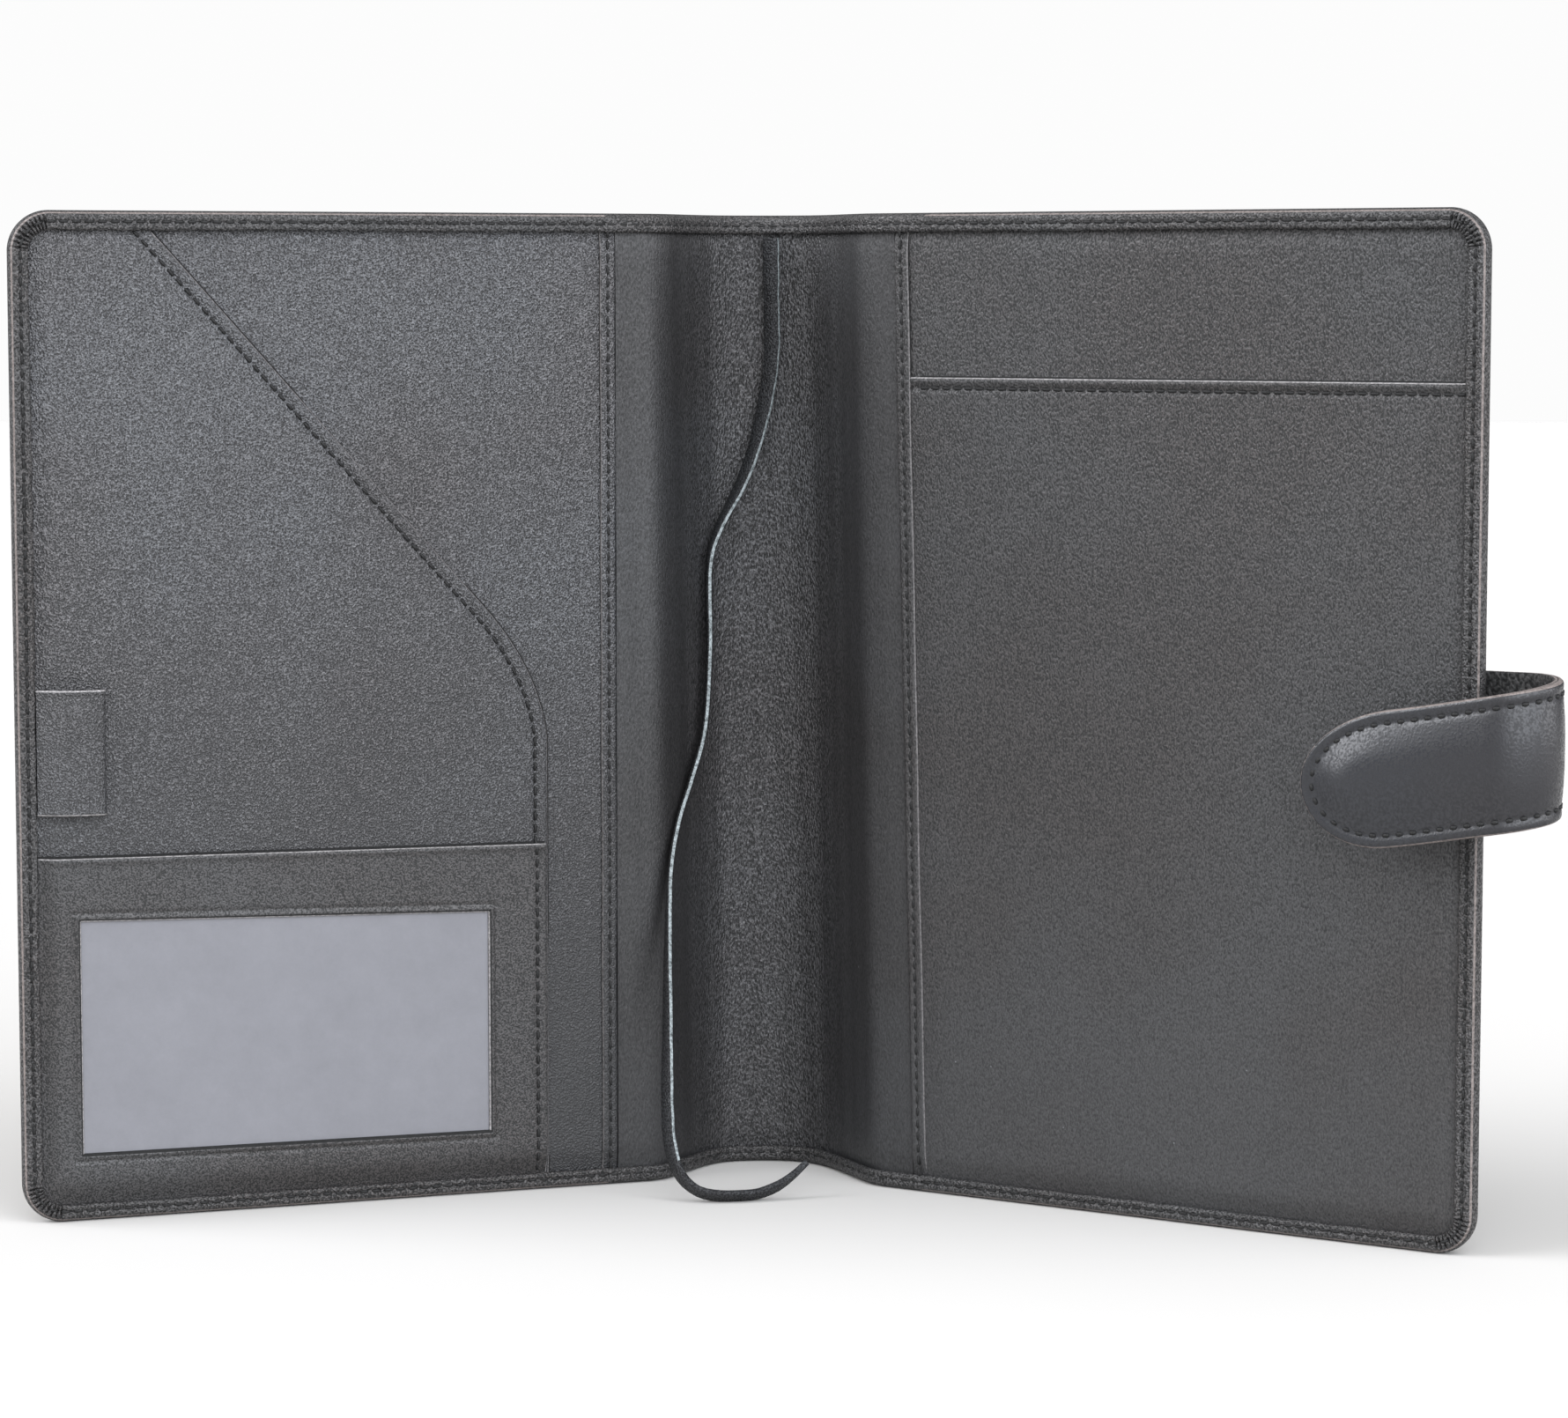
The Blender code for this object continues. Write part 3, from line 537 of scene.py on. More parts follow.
def slab(name, top, bottom, material, hole=None, edge_material=None, looks=()):
    """A closed sheet between two grids of points, without the cells that hole marks.

    Its side faces can have their own material, and looks are more materials with their cells.
    """
    rows, columns = top.shape[:2]
    under = rows * columns
    solid = np.ones((rows - 1, columns - 1), bool) if hole is None else ~hole
    faces, edges, tops = [], set(), {}

    def filled(i, j):
        return 0 <= i < rows - 1 and 0 <= j < columns - 1 and solid[i, j]

    for i, j in np.argwhere(solid).tolist():
        a = i * columns + j
        b, c, d = a + 1, a + columns + 1, a + columns
        tops[len(faces)] = (i, j)
        faces.append((a, b, c, d))
        faces.append((under + d, under + c, under + b, under + a))
        for beside, (p, q) in (((i - 1, j), (a, b)), ((i, j + 1), (b, c)), ((i + 1, j), (c, d)),
                               ((i, j - 1), (d, a))):
            if not filled(*beside):
                edges.add(len(faces))
                faces.append((q, p, under + p, under + q))
    points = np.concatenate([top.reshape(-1, 3), bottom.reshape(-1, 3)])
    made = mesh_object(name, points, faces, material)
    if edge_material:
        paint(made, edge_material, lambda polygon: polygon.index in edges)
    for extra, marked in looks:
        paint(made, extra, lambda polygon: polygon.index in tops and marked[tops[polygon.index]])
    return outwards(made)


def ring_faces(total, count, start=0, closed=False):
    """The faces between rings of points, with a cap at both ends unless they are a loop."""
    faces = []
    for i in range(total if closed else total - 1):
        near, far = start + i * count, start + (i + 1) % total * count
        for j in range(count):
            k = (j + 1) % count
            faces.append((near + j, near + k, far + k, far + j))
    if not closed:
        last = start + (total - 1) * count
        faces.append(tuple(reversed(range(start, start + count))))
        faces.append(tuple(range(last, last + count)))
    return faces


def swept(name, rings, material, closed=False):
    """A closed piece through rings of points."""
    faces = ring_faces(len(rings), len(rings[0]), closed=closed)
    return outwards(mesh_object(name, np.array(rings), faces, material))


def finish_piece(made, slot, holder, *nodes):
    """Attaches a piece to its body, or bakes its place in where its holder is a fold, and hides the nodes it
    stands for. Its slot is not used.
    """
    if isinstance(holder, str):
        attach(made, holder)
    else:
        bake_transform(made)
    if nodes:
        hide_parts(*nodes)
    return made


def stitches(name, line, normals, holder, *nodes, radius=STITCH_RADIUS, pitch=STITCH_PITCH,
             length=STITCH_LENGTH):
    """A row of stitches along a line of points, each a rounded bar that dips in at its ends."""
    line, normals = np.array(line), np.array(normals)
    lengths = travelled(line)
    count = max(1, int(lengths[-1] / pitch))
    points, faces = [], []

    def sample(values, distance):
        return np.array([np.interp(distance, lengths, part) for part in values.T])

    for i in range(count):
        faces += ring_faces(len(STITCH_STATIONS), STITCH_SIDES, len(points))
        for share, thick, lift in STITCH_STATIONS:
            distance = (i + 0.5) * lengths[-1] / count + share * length / 2
            ahead = unit(sample(line, distance + 0.2) - sample(line, distance - 0.2))
            up = sample(normals, distance)
            up = unit(up - ahead * (up @ ahead))
            across = np.cross(ahead, up)
            spot = sample(line, distance) + up * lift * radius
            for k in range(STITCH_SIDES):
                turn = 2 * math.pi * k / STITCH_SIDES
                reach = across * math.cos(turn) * 1.15 + up * (math.sin(turn) * 0.9)
                points.append(spot + reach * radius * thick)
    made = outwards(mesh_object(name, points, faces, THREAD, 80))
    return finish_piece(made, "thread", holder, *nodes)


def cover_stitches(name, cover, seam, depth, *nodes):
    """Stitches along a seam of (u, z) points on a cover, at a depth or at one depth per point."""
    line = cover.place(*np.transpose(seam), depth)
    stitches(name, line, np.tile(cover.inward, (len(line), 1)), cover.body, *nodes)


# ---------------------------------------------------------------- the turned border


def wobble(a, b, phase=0.0):
    """Soft unevenness of hand-worked leather, about 1 at most."""
    return 0.5 * np.sin(a / 23.0 + b / 61.0 + phase) + 0.3 * np.sin(b / 17.0 - a / 47.0 + 2 * phase)


def crumple(a, b):
    """Small uneven lumps of worked leather, from -1 to 1, the same for the same place."""
    return 2 * (math.sin(a * 12.9898 + b * 78.233) * 43758.5453 % 1.0) - 1


def turned_in(inset, depth):
    """Whether a point of the border's section is on the part turned inside, past its seam."""
    return inset >= BORDER_SEAM and depth >= SHELL_SKIN + 0.1


def narrowed(inset, depth, share_of_foot):
    """The turned border's insets behind its seam, drawn in, and more along the foot."""
    if not turned_in(inset, depth):
        return inset
    return BORDER_SEAM + (inset - BORDER_SEAM) * (0.82 - 0.2 * share_of_foot)


def edge_stations():
    """Stations round a cover's three free edges: (u, z, inward u, inward z, share of a corner)."""
    start, far, high = PANEL_START, PANEL_WIDTH - CORNER_RADIUS, HEIGHT - CORNER_RADIUS

    def corner(z, begin):
        for i in range(CORNER_STEPS + 1):
            turn = begin + math.pi / 2 * i / CORNER_STEPS
            out_u, out_z = math.cos(turn), math.sin(turn)
            yield (far + CORNER_RADIUS * out_u, z + CORNER_RADIUS * out_z, -out_u, -out_z,
                   i / CORNER_STEPS)

    return [
        *((u, 0.0, 0.0, 1.0, 0.0) for u in runs((start, far, BORDER_STEP))[:-1]),
        *corner(CORNER_RADIUS, -math.pi / 2),
        *((PANEL_WIDTH, z, -1.0, 0.0, 0.0) for z in runs((CORNER_RADIUS, high, BORDER_STEP))[1:-1]),
        *corner(high, 0.0),
        *((u, HEIGHT, 0.0, -1.0, 0.0) for u in runs((far, start, BORDER_STEP))[1:]),
    ]


def pleats(place, inset):
    """The gathers of the turned leather at a rounded corner: narrow valleys between soft ridges."""
    if not 0.0 < place < 1.0:
        return 0.0
    fade = min(1.0, 3.2 * math.sin(math.pi * place))
    reach = float(smooth_step((inset - 0.1) / 1.0))
    valley = (0.5 + 0.5 * math.cos(2 * math.pi * PLEATS * place + 0.9 * math.sin(9 * place))) ** 2.5
    return reach * fade * (0.12 - 0.62 * valley)


def pucker(phase, off_seam):
    """The leather pulled down at each needle hole, and pushed up beside it."""
    hole = (0.5 + 0.5 * math.cos(2 * math.pi * phase)) ** 2
    beside = math.exp(-((abs(off_seam) - 0.85) / 0.45) ** 2)
    uneven = 1.0 + 0.5 * math.sin(phase * 2.1) * math.sin(phase * 0.37 + 1.0)
    pulled = 0.34 * hole * math.exp(-((off_seam / 0.4) ** 2))
    return (0.24 * hole - 0.12) * beside * uneven - pulled


def shell(cover):
    """A cover's outer leather: its outer face, its rounded edge and the border sewn down inside."""
    stations = edge_stations()
    seam = [(u + inward_u * BORDER_SEAM, z + inward_z * BORDER_SEAM)
            for u, z, inward_u, inward_z, _ in stations]
    along = travelled(seam)
    phases = along / along[-1] * int(along[-1] / STITCH_PITCH)
    count = len(BORDER_PROFILE)
    points = []
    for phase, (u, z, inward_u, inward_z, place) in zip(phases, stations):
        waver = 0.12 * float(wobble(u * 2.1, z * 2.3, 1.3)) + 0.05 * math.sin(phase * 1.7)
        for inset, depth in BORDER_PROFILE:
            reach = narrowed(inset, depth, max(inward_z, 0.0))
            if turned_in(inset, depth) and inset > BORDER_SEAM:
                reach += waver
            lift = 0.0
            if depth > 3.0 and inset < 4.6:
                lift = pleats(place, inset) + pucker(phase, inset - BORDER_SEAM)
                lift += 0.06 * crumple(phase, inset)
            points.append(cover.place(u + inward_u * reach, z + inward_z * reach, depth + lift))
    last = (len(stations) - 1) * count
    faces = [(a, a + 1, a + 1 + count, a + count)
             for i in range(0, last, count) for a in range(i, i + count - 1)]
    faces += [
        tuple(range(0, last + 1, count)), tuple(range(last + count - 1, 0, -count)),
        tuple(range(count)), tuple(range(last + count - 1, last - 1, -1)),
        (0, count - 1, last + count - 1, last),
    ]
    made = mesh_object(f"{cover.name}_cover_shell", points, faces, OUTER_LEATHER)
    # A painted highlight along the border's inner rim, and the outer face's own leather
    paint_rings(made, count, (STRAP_EDGE_PAINT_AND_HIGHLIGHT, lambda places: places == HIGHLIGHT_RIM_PLACES),
                (OUTER_FACE, lambda places: max(places) <= FACE_PLACES))
    finish_piece(outwards(made), "outer_leather", cover.body, f"{cover.name}_cover_leather")
    cover_stitches(f"{cover.name}_border_stitches", cover, seam, BORDER_SEAM_DEPTH,
                   f"{cover.name}_border_thread")


# ---------------------------------------------------------------- flat pieces on the covers


def into_corner(u, z):
    """Draws the square corners of a grid into the cover's rounded ones."""
    middle_u = PANEL_WIDTH - CORNER_RADIUS
    low, high = CORNER_RADIUS, HEIGHT - CORNER_RADIUS
    past_u = np.maximum(u - middle_u, 0.0)
    past_z = np.maximum(low - z, 0.0) + np.maximum(z - high, 0.0)
    share = np.maximum(past_u, past_z) / np.maximum(np.hypot(past_u, past_z), 1e-9)
    share = np.where((past_u > 0) & (past_z > 0), share, 1.0)
    new_u = np.where(past_u > 0, middle_u + past_u * share, u)
    return new_u, np.where(z < low, low - past_z * share, np.where(z > high, high + past_z * share, z))


def sunk(u, z):
    """1 under the border and 0 well inside it, where the layers lie at their full height."""
    from_end = np.minimum(z, HEIGHT - z)
    past_u = np.maximum(u - PANEL_WIDTH + CORNER_RADIUS, 0.0)
    past_z = np.maximum(CORNER_RADIUS - from_end, 0.0)
    inset = np.where((past_u > 0) & (past_z > 0), CORNER_RADIUS - np.hypot(past_u, past_z),
                     np.minimum(from_end, PANEL_WIDTH - u))
    return 1 - smooth_step((inset - 3.4) / 5.6)


def level(base, under, u, z, phase=0.0, sway=1.0):
    """A layer's height: its own in the open, and pressed down to another under the border."""
    away = sunk(u, z)
    return base + (under - base) * away + 0.12 * sway * wobble(u, z, phase) * (1 - away)


def sheet_on(cover, name, node, under, grid, top, bottom, material, size, slot="inner_leather",
             **looks):
    """A sheet on a cover over a grid of (u, z). The piece it is sewn down on and its cut size are not used.
    """
    made = slab(name, cover.place(*grid, top), cover.place(*grid, bottom), material, **looks)
    finish_piece(made, slot, cover.body, node)


def sheet_rows():
    return runs((SLEEVE_FOOT, 12.0, 1.3), (12.0, HEIGHT - 12.0, 4.0),
                (HEIGHT - 12.0, HEIGHT - SLEEVE_FOOT, 1.3))


def sleeve(cover):
    """A notebook sleeve: one sheet from its free edge to under the border on three sides."""
    z = sheet_rows()
    share = dense_end(24)
    z_grid = np.repeat(z[:, None], len(share), axis=1)
    start = cover.strip_u(0, z_grid) + 0.6
    u_grid, z_grid = into_corner(between((start, SLEEVE_END), share), z_grid)
    crown = 0.25 * np.sin(math.pi * np.clip(z_grid / HEIGHT, 0, 1)) * smooth_step((u_grid - 14) / 50)
    top = level(SLEEVE_TOP + crown, 3.5, u_grid, z_grid, cover.phase)
    sheet_on(cover, f"{cover.name}_sleeve_leather", f"{cover.name}_sleeve", f"{cover.body}_board",
             (u_grid, z_grid), top, top - 0.75, cover.leather,
             (SLEEVE_END - float(start.mean()), z[-1] - z[0]))


def binding(cover):
    """The strip folded round a sleeve's free edge, with a rounded fold and a seam groove."""
    seam = cover.seam_share
    section = (
        (0.0, 3.55), (0.01, 4.1), (0.05, 4.5), (0.13, 4.78), (0.25, 4.9), (0.4, 4.86),
        (seam - 0.06, 4.78), (seam, 4.66), (seam + 0.06, 4.78), (0.72, 4.9), (0.86, 4.9),
        (0.95, 4.76), (1.0, 4.45), (1.0, 4.1),
    )
    rings = []
    for z in runs((2.2, 8.0, 1.0), (8.0, HEIGHT - 8.0, 2.5), (HEIGHT - 8.0, HEIGHT - 2.2, 1.0)):
        sides = cover.strip_u(0, z), cover.strip_u(1, z)
        away = float(sunk(60.0, z))
        waver = 0.1 * float(wobble(3.0 * z, 40.0, 0.7))
        ring = [cover.place(between(sides, share) + waver, z, top - (top - 3.3) * 0.62 * away)
                for share, top in section]
        ring.append(cover.place(sides[1], z, 3.3 - 0.1 * away))
        ring.append(cover.place(sides[0], z, 3.2 - 0.1 * away))
        rings.append(ring)
    made = swept(f"{cover.name}_binding_strip", rings, cover.leather)
    # A painted highlight on the strip's rounded far edge, and painted shade down its far side
    paint_rings(made, len(rings[0]), (DIM_PAINTED_EDGE_HIGHLIGHT, lambda places: places == {11, 12}),
                (PAINTED_GAP_SHADE, lambda places: places in ({12, 13}, {13, 14})))
    finish_piece(made, "inner_leather", cover.body, f"{cover.name}_sleeve_binding")
    ends = (0.0, 3.0), (HEIGHT, HEIGHT - 3.0)
    seam_line = [(cover.strip_u(0, along) + BINDING_SEAM, z) for along, z in ends]
    cover_stitches(f"{cover.name}_binding_stitches", cover, seam_line, BINDING_SEAM_DEPTH,
                   f"{cover.name}_binding_thread")


def diagonal_edge(z):
    """The diagonal pocket's free edge: u for each height."""
    t = np.linspace(1, 0, 25)[:, None]
    knee, bend, end = (np.array(point) for point in (DIAGONAL_KNEE, DIAGONAL_BEND, DIAGONAL_END))
    curve = knee * (1 - t) ** 2 + bend * 2 * t * (1 - t) + end * t * t
    slope = (DIAGONAL_TOP[0] - DIAGONAL_KNEE[0]) / (DIAGONAL_TOP[1] - DIAGONAL_KNEE[1])
    beyond = (DIAGONAL_TOP[0] + slope * 6.0, DIAGONAL_TOP[1] + 6.0)
    line = np.array([(DIAGONAL_END[0], -5.0), *curve, beyond])
    return np.interp(z, line[:, 1], line[:, 0])


def edge_looks(from_edge, rim=PAINTED_EDGE_HIGHLIGHT):
    """A pocket's turned edge: a painted highlight on its rim, and painted shade in the gap behind it."""
    middle = cells(from_edge)
    return (rim, (middle > 0) & (middle < 0.24)), (PAINTED_GAP_SHADE, middle < 0)


def diagonal_pocket():
    z = runs((SHEET_FOOT, 10.0, 1.2), (10.0, 96.0, 3.0), (96.0, 140.0, 1.5), (140.0, 212.0, 2.5),
             (212.0, 220.0, 1.2))
    edge = diagonal_edge(z)[:, None]
    stretch = np.sqrt(1 + np.gradient(edge[:, 0], z) ** 2)[:, None]
    close = np.array((-0.35, -0.12, 0, 0.1, 0.25, 0.45, 0.75, 1.2, 1.8, 2.3, 2.65, 2.9, 3.15, 3.5,
                      4.1, 5.2))
    rest = np.concatenate([np.linspace(0, 0.8, 26)[1:-1], np.linspace(0.8, 1, 12)])
    near = edge + close * stretch
    far = between((near[:, -1:], POCKET_END), rest)
    from_edge = np.hstack([np.repeat(close[None], len(z), axis=0), (far - edge) / stretch])
    u_grid = np.hstack([near, far])
    z_grid = np.repeat(z[:, None], u_grid.shape[1], axis=1)
    u_grid, z_grid = into_corner(u_grid, z_grid)
    raised = POCKET_TOP - edge_drop(from_edge, 0.42) - 0.3 * dent(from_edge - POCKET_SEAM, 0.55)
    raised = raised + 0.3 * dent(from_edge - 0.9, 0.6) - 0.35 * (from_edge < -0.05)
    clear = smooth_step((z_grid - CARD_POCKET_HEAD[1] + 2.0) / 30.0)
    raised = raised + 0.35 * smooth_step((from_edge - 4.0) / 40.0) * clear - 0.1 * (1 - clear)
    top = level(raised, 3.85, u_grid, z_grid, FRONT.phase, clear)
    bottom = np.minimum(np.maximum(top - 0.8, 3.0) + edge_drop(from_edge, 0.2), top - 0.05)
    tall = z[-1] - z[0]
    area = tall * float((POCKET_END - diagonal_edge(np.linspace(z[0], z[-1], 400))).mean())
    sheet_on(FRONT, "diagonal_pocket_leather", "diagonal_pocket", "front_sleeve_leather",
             (u_grid, z_grid), top, bottom, FRONT_LEATHER,
             (POCKET_END - DIAGONAL_END[0], tall, area), looks=edge_looks(from_edge, DIM_PAINTED_EDGE_HIGHLIGHT))

    z = runs((4.0, 218.0, 0.9))
    slope = diagonal_edge(z + 0.5) - diagonal_edge(z - 0.5)
    u = diagonal_edge(z) + POCKET_SEAM * np.sqrt(1 + slope ** 2)
    over = np.where(z < CARD_POCKET_HEAD[0], CARD_POCKET_TOP, POCKET_TOP)
    depth = level(over - 0.1, 4.0, u, z, FRONT.phase)
    cover_stitches("diagonal_pocket_stitches", FRONT, list(zip(u, z)), depth,
                   "diagonal_pocket_thread", "card_pocket_thread")


def card_pocket():
    """The lower pocket with its window, and the frosted film behind the window."""
    near, far = CARD_POCKET_NEAR, POCKET_END
    left, right = WINDOW_U
    ring = np.array((0.0, 0.12, 0.3, 0.6, 1.0, 1.5, 1.9, 2.3, 2.9))
    columns = np.concatenate([
        near + np.array((0.0, 0.12, 0.3, 0.6, 1.2, 1.8, 2.2, 2.5, 2.9, 3.6, 5.5, 8.0)),
        left - ring[::-1], np.linspace(left, right, 24)[1:-1], right + ring,
        np.linspace(right + ring[-1], far, 10)[1:],
    ])
    head = between(CARD_POCKET_HEAD, (columns - near) / (far - near))
    across = (columns - left) / (right - left)
    window_foot, window_head = between(WINDOW_FOOT, across), between(WINDOW_HEAD, across)
    under, over = window_foot - ring[-1], window_head + ring[-1]
    rows = [between((under, CARD_POCKET_FOOT), share) for share in np.linspace(1, 0, 6, False)]
    rows += [window_foot - offset for offset in ring[::-1]]
    bottom_row = len(rows) - 1
    rows += [between((window_foot, window_head), share) for share in np.linspace(0, 1, 14)[1:-1]]
    top_row = len(rows)
    rows += [window_head + offset for offset in ring]
    rows += [between((over, head - 2.2), share) for share in np.linspace(0, 1, 6)[1:-1]]
    rows += [head - offset for offset in (2.2, 1.6, 1.1, 0.7, 0.4, 0.2, 0.08, 0.0, -0.12, -0.5)]
    u_grid, z_grid = into_corner(np.repeat(columns[None, :], len(rows), axis=0), np.array(rows))
    outside_u = np.maximum(left - u_grid, u_grid - right)
    outside_z = np.maximum(window_foot - z_grid, z_grid - window_head)
    from_window = np.maximum(np.maximum(outside_u, outside_z), 0.0)
    from_head = head - z_grid
    from_near = u_grid - near
    raised = CARD_POCKET_TOP - edge_drop(from_head, 0.4) - edge_drop(from_near, 0.4)
    raised = raised - 0.2 * dent(from_near - (POCKET_SEAM - 0.7), 0.5)
    raised = raised + 0.25 * dent(from_head - 0.7, 0.5) - 0.6 * (from_head < -0.05)
    raised = raised - edge_drop(from_window, 0.45) - 0.3 * dent(from_window - 1.75, 0.3)
    raised = raised + 0.25 * dent(from_window - 0.9, 0.45)
    top = level(raised, 4.1, u_grid, z_grid, FRONT.phase, 0.5)
    bottom = np.minimum(np.maximum(top - 0.55, 3.3), top - 0.05)
    hole = np.zeros((len(rows) - 1, len(columns) - 1), bool)
    hole[bottom_row:top_row, np.argmin(abs(columns - left)):np.argmin(abs(columns - right))] = True
    off_window = cells(from_window)
    below = cells(window_foot - z_grid) > 0
    # Painted highlights on the rims of the head, the window and the near side, and painted shade behind the
    # head, under the window and in a ring round it
    looks = (
        *edge_looks(np.where(from_head < 1.0, from_head, 1.0)),
        (PAINTED_EDGE_HIGHLIGHT, (off_window < 0.24) & ~below), (PAINTED_GAP_SHADE, (off_window < 0.24) & below),
        (PAINTED_GAP_SHADE, (off_window > 0.24) & (off_window < 0.65)), (PAINTED_EDGE_HIGHLIGHT, cells(from_near) < 0.1),
    )
    wide, tall = far - near, float(head.mean()) - CARD_POCKET_FOOT
    window = (right - left) * (sum(WINDOW_HEAD) - sum(WINDOW_FOOT)) / 2
    # The pocket's sides are painted shade
    sheet_on(FRONT, "card_pocket_leather", "card_pocket", "diagonal_pocket_leather",
             (u_grid, z_grid), top, bottom, CARD_LEATHER, (wide, tall, wide * tall - window),
             hole=hole, edge_material=PAINTED_GAP_SHADE, looks=looks)

    u = np.linspace(left - FILM_MARGIN, right + FILM_MARGIN, 30)
    z = np.linspace(WINDOW_FOOT[0] - FILM_MARGIN, WINDOW_HEAD[1] + FILM_MARGIN, 18)
    u_grid, z_grid = np.meshgrid(u, z)
    sag = 0.03 * np.sin(u_grid / 9.0 + z_grid / 21.0) + 0.03 * np.sin(z_grid / 8.0 - u_grid / 31.0)
    top = level(FILM_TOP + sag, FILM_TOP + sag - 0.5, u_grid, z_grid, FRONT.phase, 0.0)
    sheet_on(FRONT, "card_window_sheet", "card_window_film", "diagonal_pocket_leather",
             (u_grid, z_grid), top, top - 0.12, FILM, (u[-1] - u[0], z[-1] - z[0]), "window_film")


def pen_loop():
    """A flattened band of leather with turned edges, its outer side caught under the border."""
    near, far = PEN_LOOP_U[0] + 1.3, PEN_LOOP_U[1]
    low, high = PEN_LOOP_Z
    turns = np.radians(np.linspace(-90, 90, 9))
    over, back = np.linspace(0, 1, 12)[1:], np.linspace(1, 0, 8)[:-1]
    outline = np.concatenate([
        np.stack([near - 1.3 * np.cos(turns), 6.55 + 1.45 * np.sin(turns)], axis=1),
        np.stack([between((near, far), over), 8.0 + 0.3 * np.sin(math.pi * over) - 2.7 * over ** 2.6],
                 axis=1),
        np.stack([between((near, far), back), 5.1 - 0.6 * back ** 3], axis=1),
    ])
    following = unit(np.roll(outline, -1, axis=0) - np.roll(outline, 1, axis=0))
    inner_normals = np.stack([following[:, 1], -following[:, 0]], axis=1)
    if ((outline.mean(axis=0) - outline) * inner_normals).sum() < 0:
        inner_normals = -inner_normals
    ends = np.array((0, 0.12, 0.35, 0.7, 1.0, 1.25, 1.6, 3.0))
    z = np.concatenate([low + ends, np.linspace(low + 6, high - 6, 6), high - ends[::-1]])
    from_end = np.minimum(z - low, high - z)
    lift = 0.12 * dent(from_end - 0.6, 0.45) - edge_drop(from_end, 0.3)
    lift -= 0.1 * dent(from_end - 1.4, 0.25)
    rows = []
    for reach in (-lift, np.full(len(z), 0.7)):
        for height, inward in zip(z, reach):
            opened = 0.5 * max(0.0, (height - high + 12.0) / 12.0)
            spread = opened * np.clip((outline[:, 1] - 6.0) / 1.5, 0, 1)
            points = outline + inner_normals * inward
            rows.append(FRONT.place(points[:, 0], height, points[:, 1] + spread))
    rows = np.array(rows)
    head = len(z) - 1
    rings = np.concatenate([rows[:head + 1], rows[:head:-1]]).swapaxes(0, 1)
    made = swept("pen_loop_leather", rings, FRONT_LEATHER, closed=True)
    # Painted highlights along the band's turned top and bottom edges
    ends = ({0, 1}, {1, 2}, {head, head - 1}, {head - 1, head - 2})
    paint_rings(made, len(rings[0]), (PAINTED_EDGE_HIGHLIGHT, lambda places: places in ends))
    finish_piece(made, "inner_leather", FRONT.body, "pen_loop")


def document_pocket():
    """The back cover's large pocket, with a turned and stitched top edge."""
    head = BACK_POCKET_HEAD
    z = np.concatenate([
        runs((SHEET_FOOT, 12.0, 1.3), (12.0, head - 6.0, 3.5))[:-1],
        head - np.array((6.0, 4.4, 3.6, 3.0, 2.7, 2.4, 2.1, 1.8, 1.2, 0.75, 0.45, 0.25, 0.1, 0.0,
                         -0.12, -0.35)),
    ])
    share = dense_end(30)
    z_grid = np.repeat(z[:, None], len(share), axis=1)
    start = BACK.strip_u(1, z_grid) - 1.0
    from_head = head - z_grid
    u_grid, z_grid = into_corner(between((start, POCKET_END), share), z_grid)
    raised = POCKET_TOP - edge_drop(from_head, 0.42) - 0.3 * dent(from_head - BACK_POCKET_SEAM, 0.5)
    raised = raised + 0.35 * dent(from_head - 0.8, 0.6) - 0.35 * (from_head < -0.05)
    raised = raised + 0.3 * smooth_step(from_head / 40) * smooth_step((u_grid - 14) / 40)
    raised = raised - 0.7 * (1 - smooth_step((u_grid - start - 0.5) / 3.5))
    top = level(raised, 3.9, u_grid, z_grid, BACK.phase)
    bottom = np.minimum(np.maximum(top - 0.8, 3.0), top - 0.05)
    sheet_on(BACK, "document_pocket_leather", "back_document_pocket", "back_sleeve_leather",
             (u_grid, z_grid), top, bottom, BACK_LEATHER,
             (POCKET_END - float(start.mean()), head - z[0]), looks=edge_looks(from_head))
    u = runs((8.6, PANEL_WIDTH - 4.0, 2.0))
    z = np.full(len(u), head - BACK_POCKET_SEAM)
    depth = level(POCKET_TOP - 0.1, 4.0, u, z, BACK.phase)
    cover_stitches("document_pocket_stitches", BACK, list(zip(u, z)), depth, "back_pocket_thread")


# ---------------------------------------------------------------- the gutter


def bezier(points, count):
    t = np.linspace(0, 1, count)[:, None]
    a, b, c, d = (np.array(point, float) for point in points)
    return a * (1 - t) ** 3 + 3 * b * t * (1 - t) ** 2 + 3 * c * t * t * (1 - t) + d * t ** 3


def towards_crown(cover):
    """The direction of a flank in plan, from its fold to the crown."""
    slope = FRONT_SLOPE if cover is FRONT else BACK_SLOPE
    return np.array((-cover.side * math.cos(slope), math.sin(slope), 0.0))


def gutter_path(back_strip):
    """The spine's neutral line in plan from inside the front cover to inside the back cover.

    Past each fold it keeps to the cover's plane for a strip, and then it turns to the crown.
    """
    halves = []
    for cover, strip, reach in ((FRONT, FRONT_STRIP, 20), (BACK, back_strip, 21)):
        fold, along = cover.fold[:2], cover.along[:2]
        corner = fold - along * strip
        lead = corner + towards_crown(cover)[:2] * reach
        curve = bezier((corner, lead, (15 * cover.side, 0), (0, 0)), 60)
        away = curve[np.linalg.norm(curve - corner, axis=1) > ROUND_OFF]
        turn = np.linspace(0, 1, 12)[:, None]
        begin = corner + along * ROUND_OFF
        bend = begin * (1 - turn) ** 2 + 2 * corner * turn * (1 - turn) + away[0] * turn ** 2
        halves.append(evenly(np.concatenate([[fold + along * PANEL_START], bend, away[1:]]), 110))
    return np.concatenate([halves[0], halves[1][::-1][1:]])


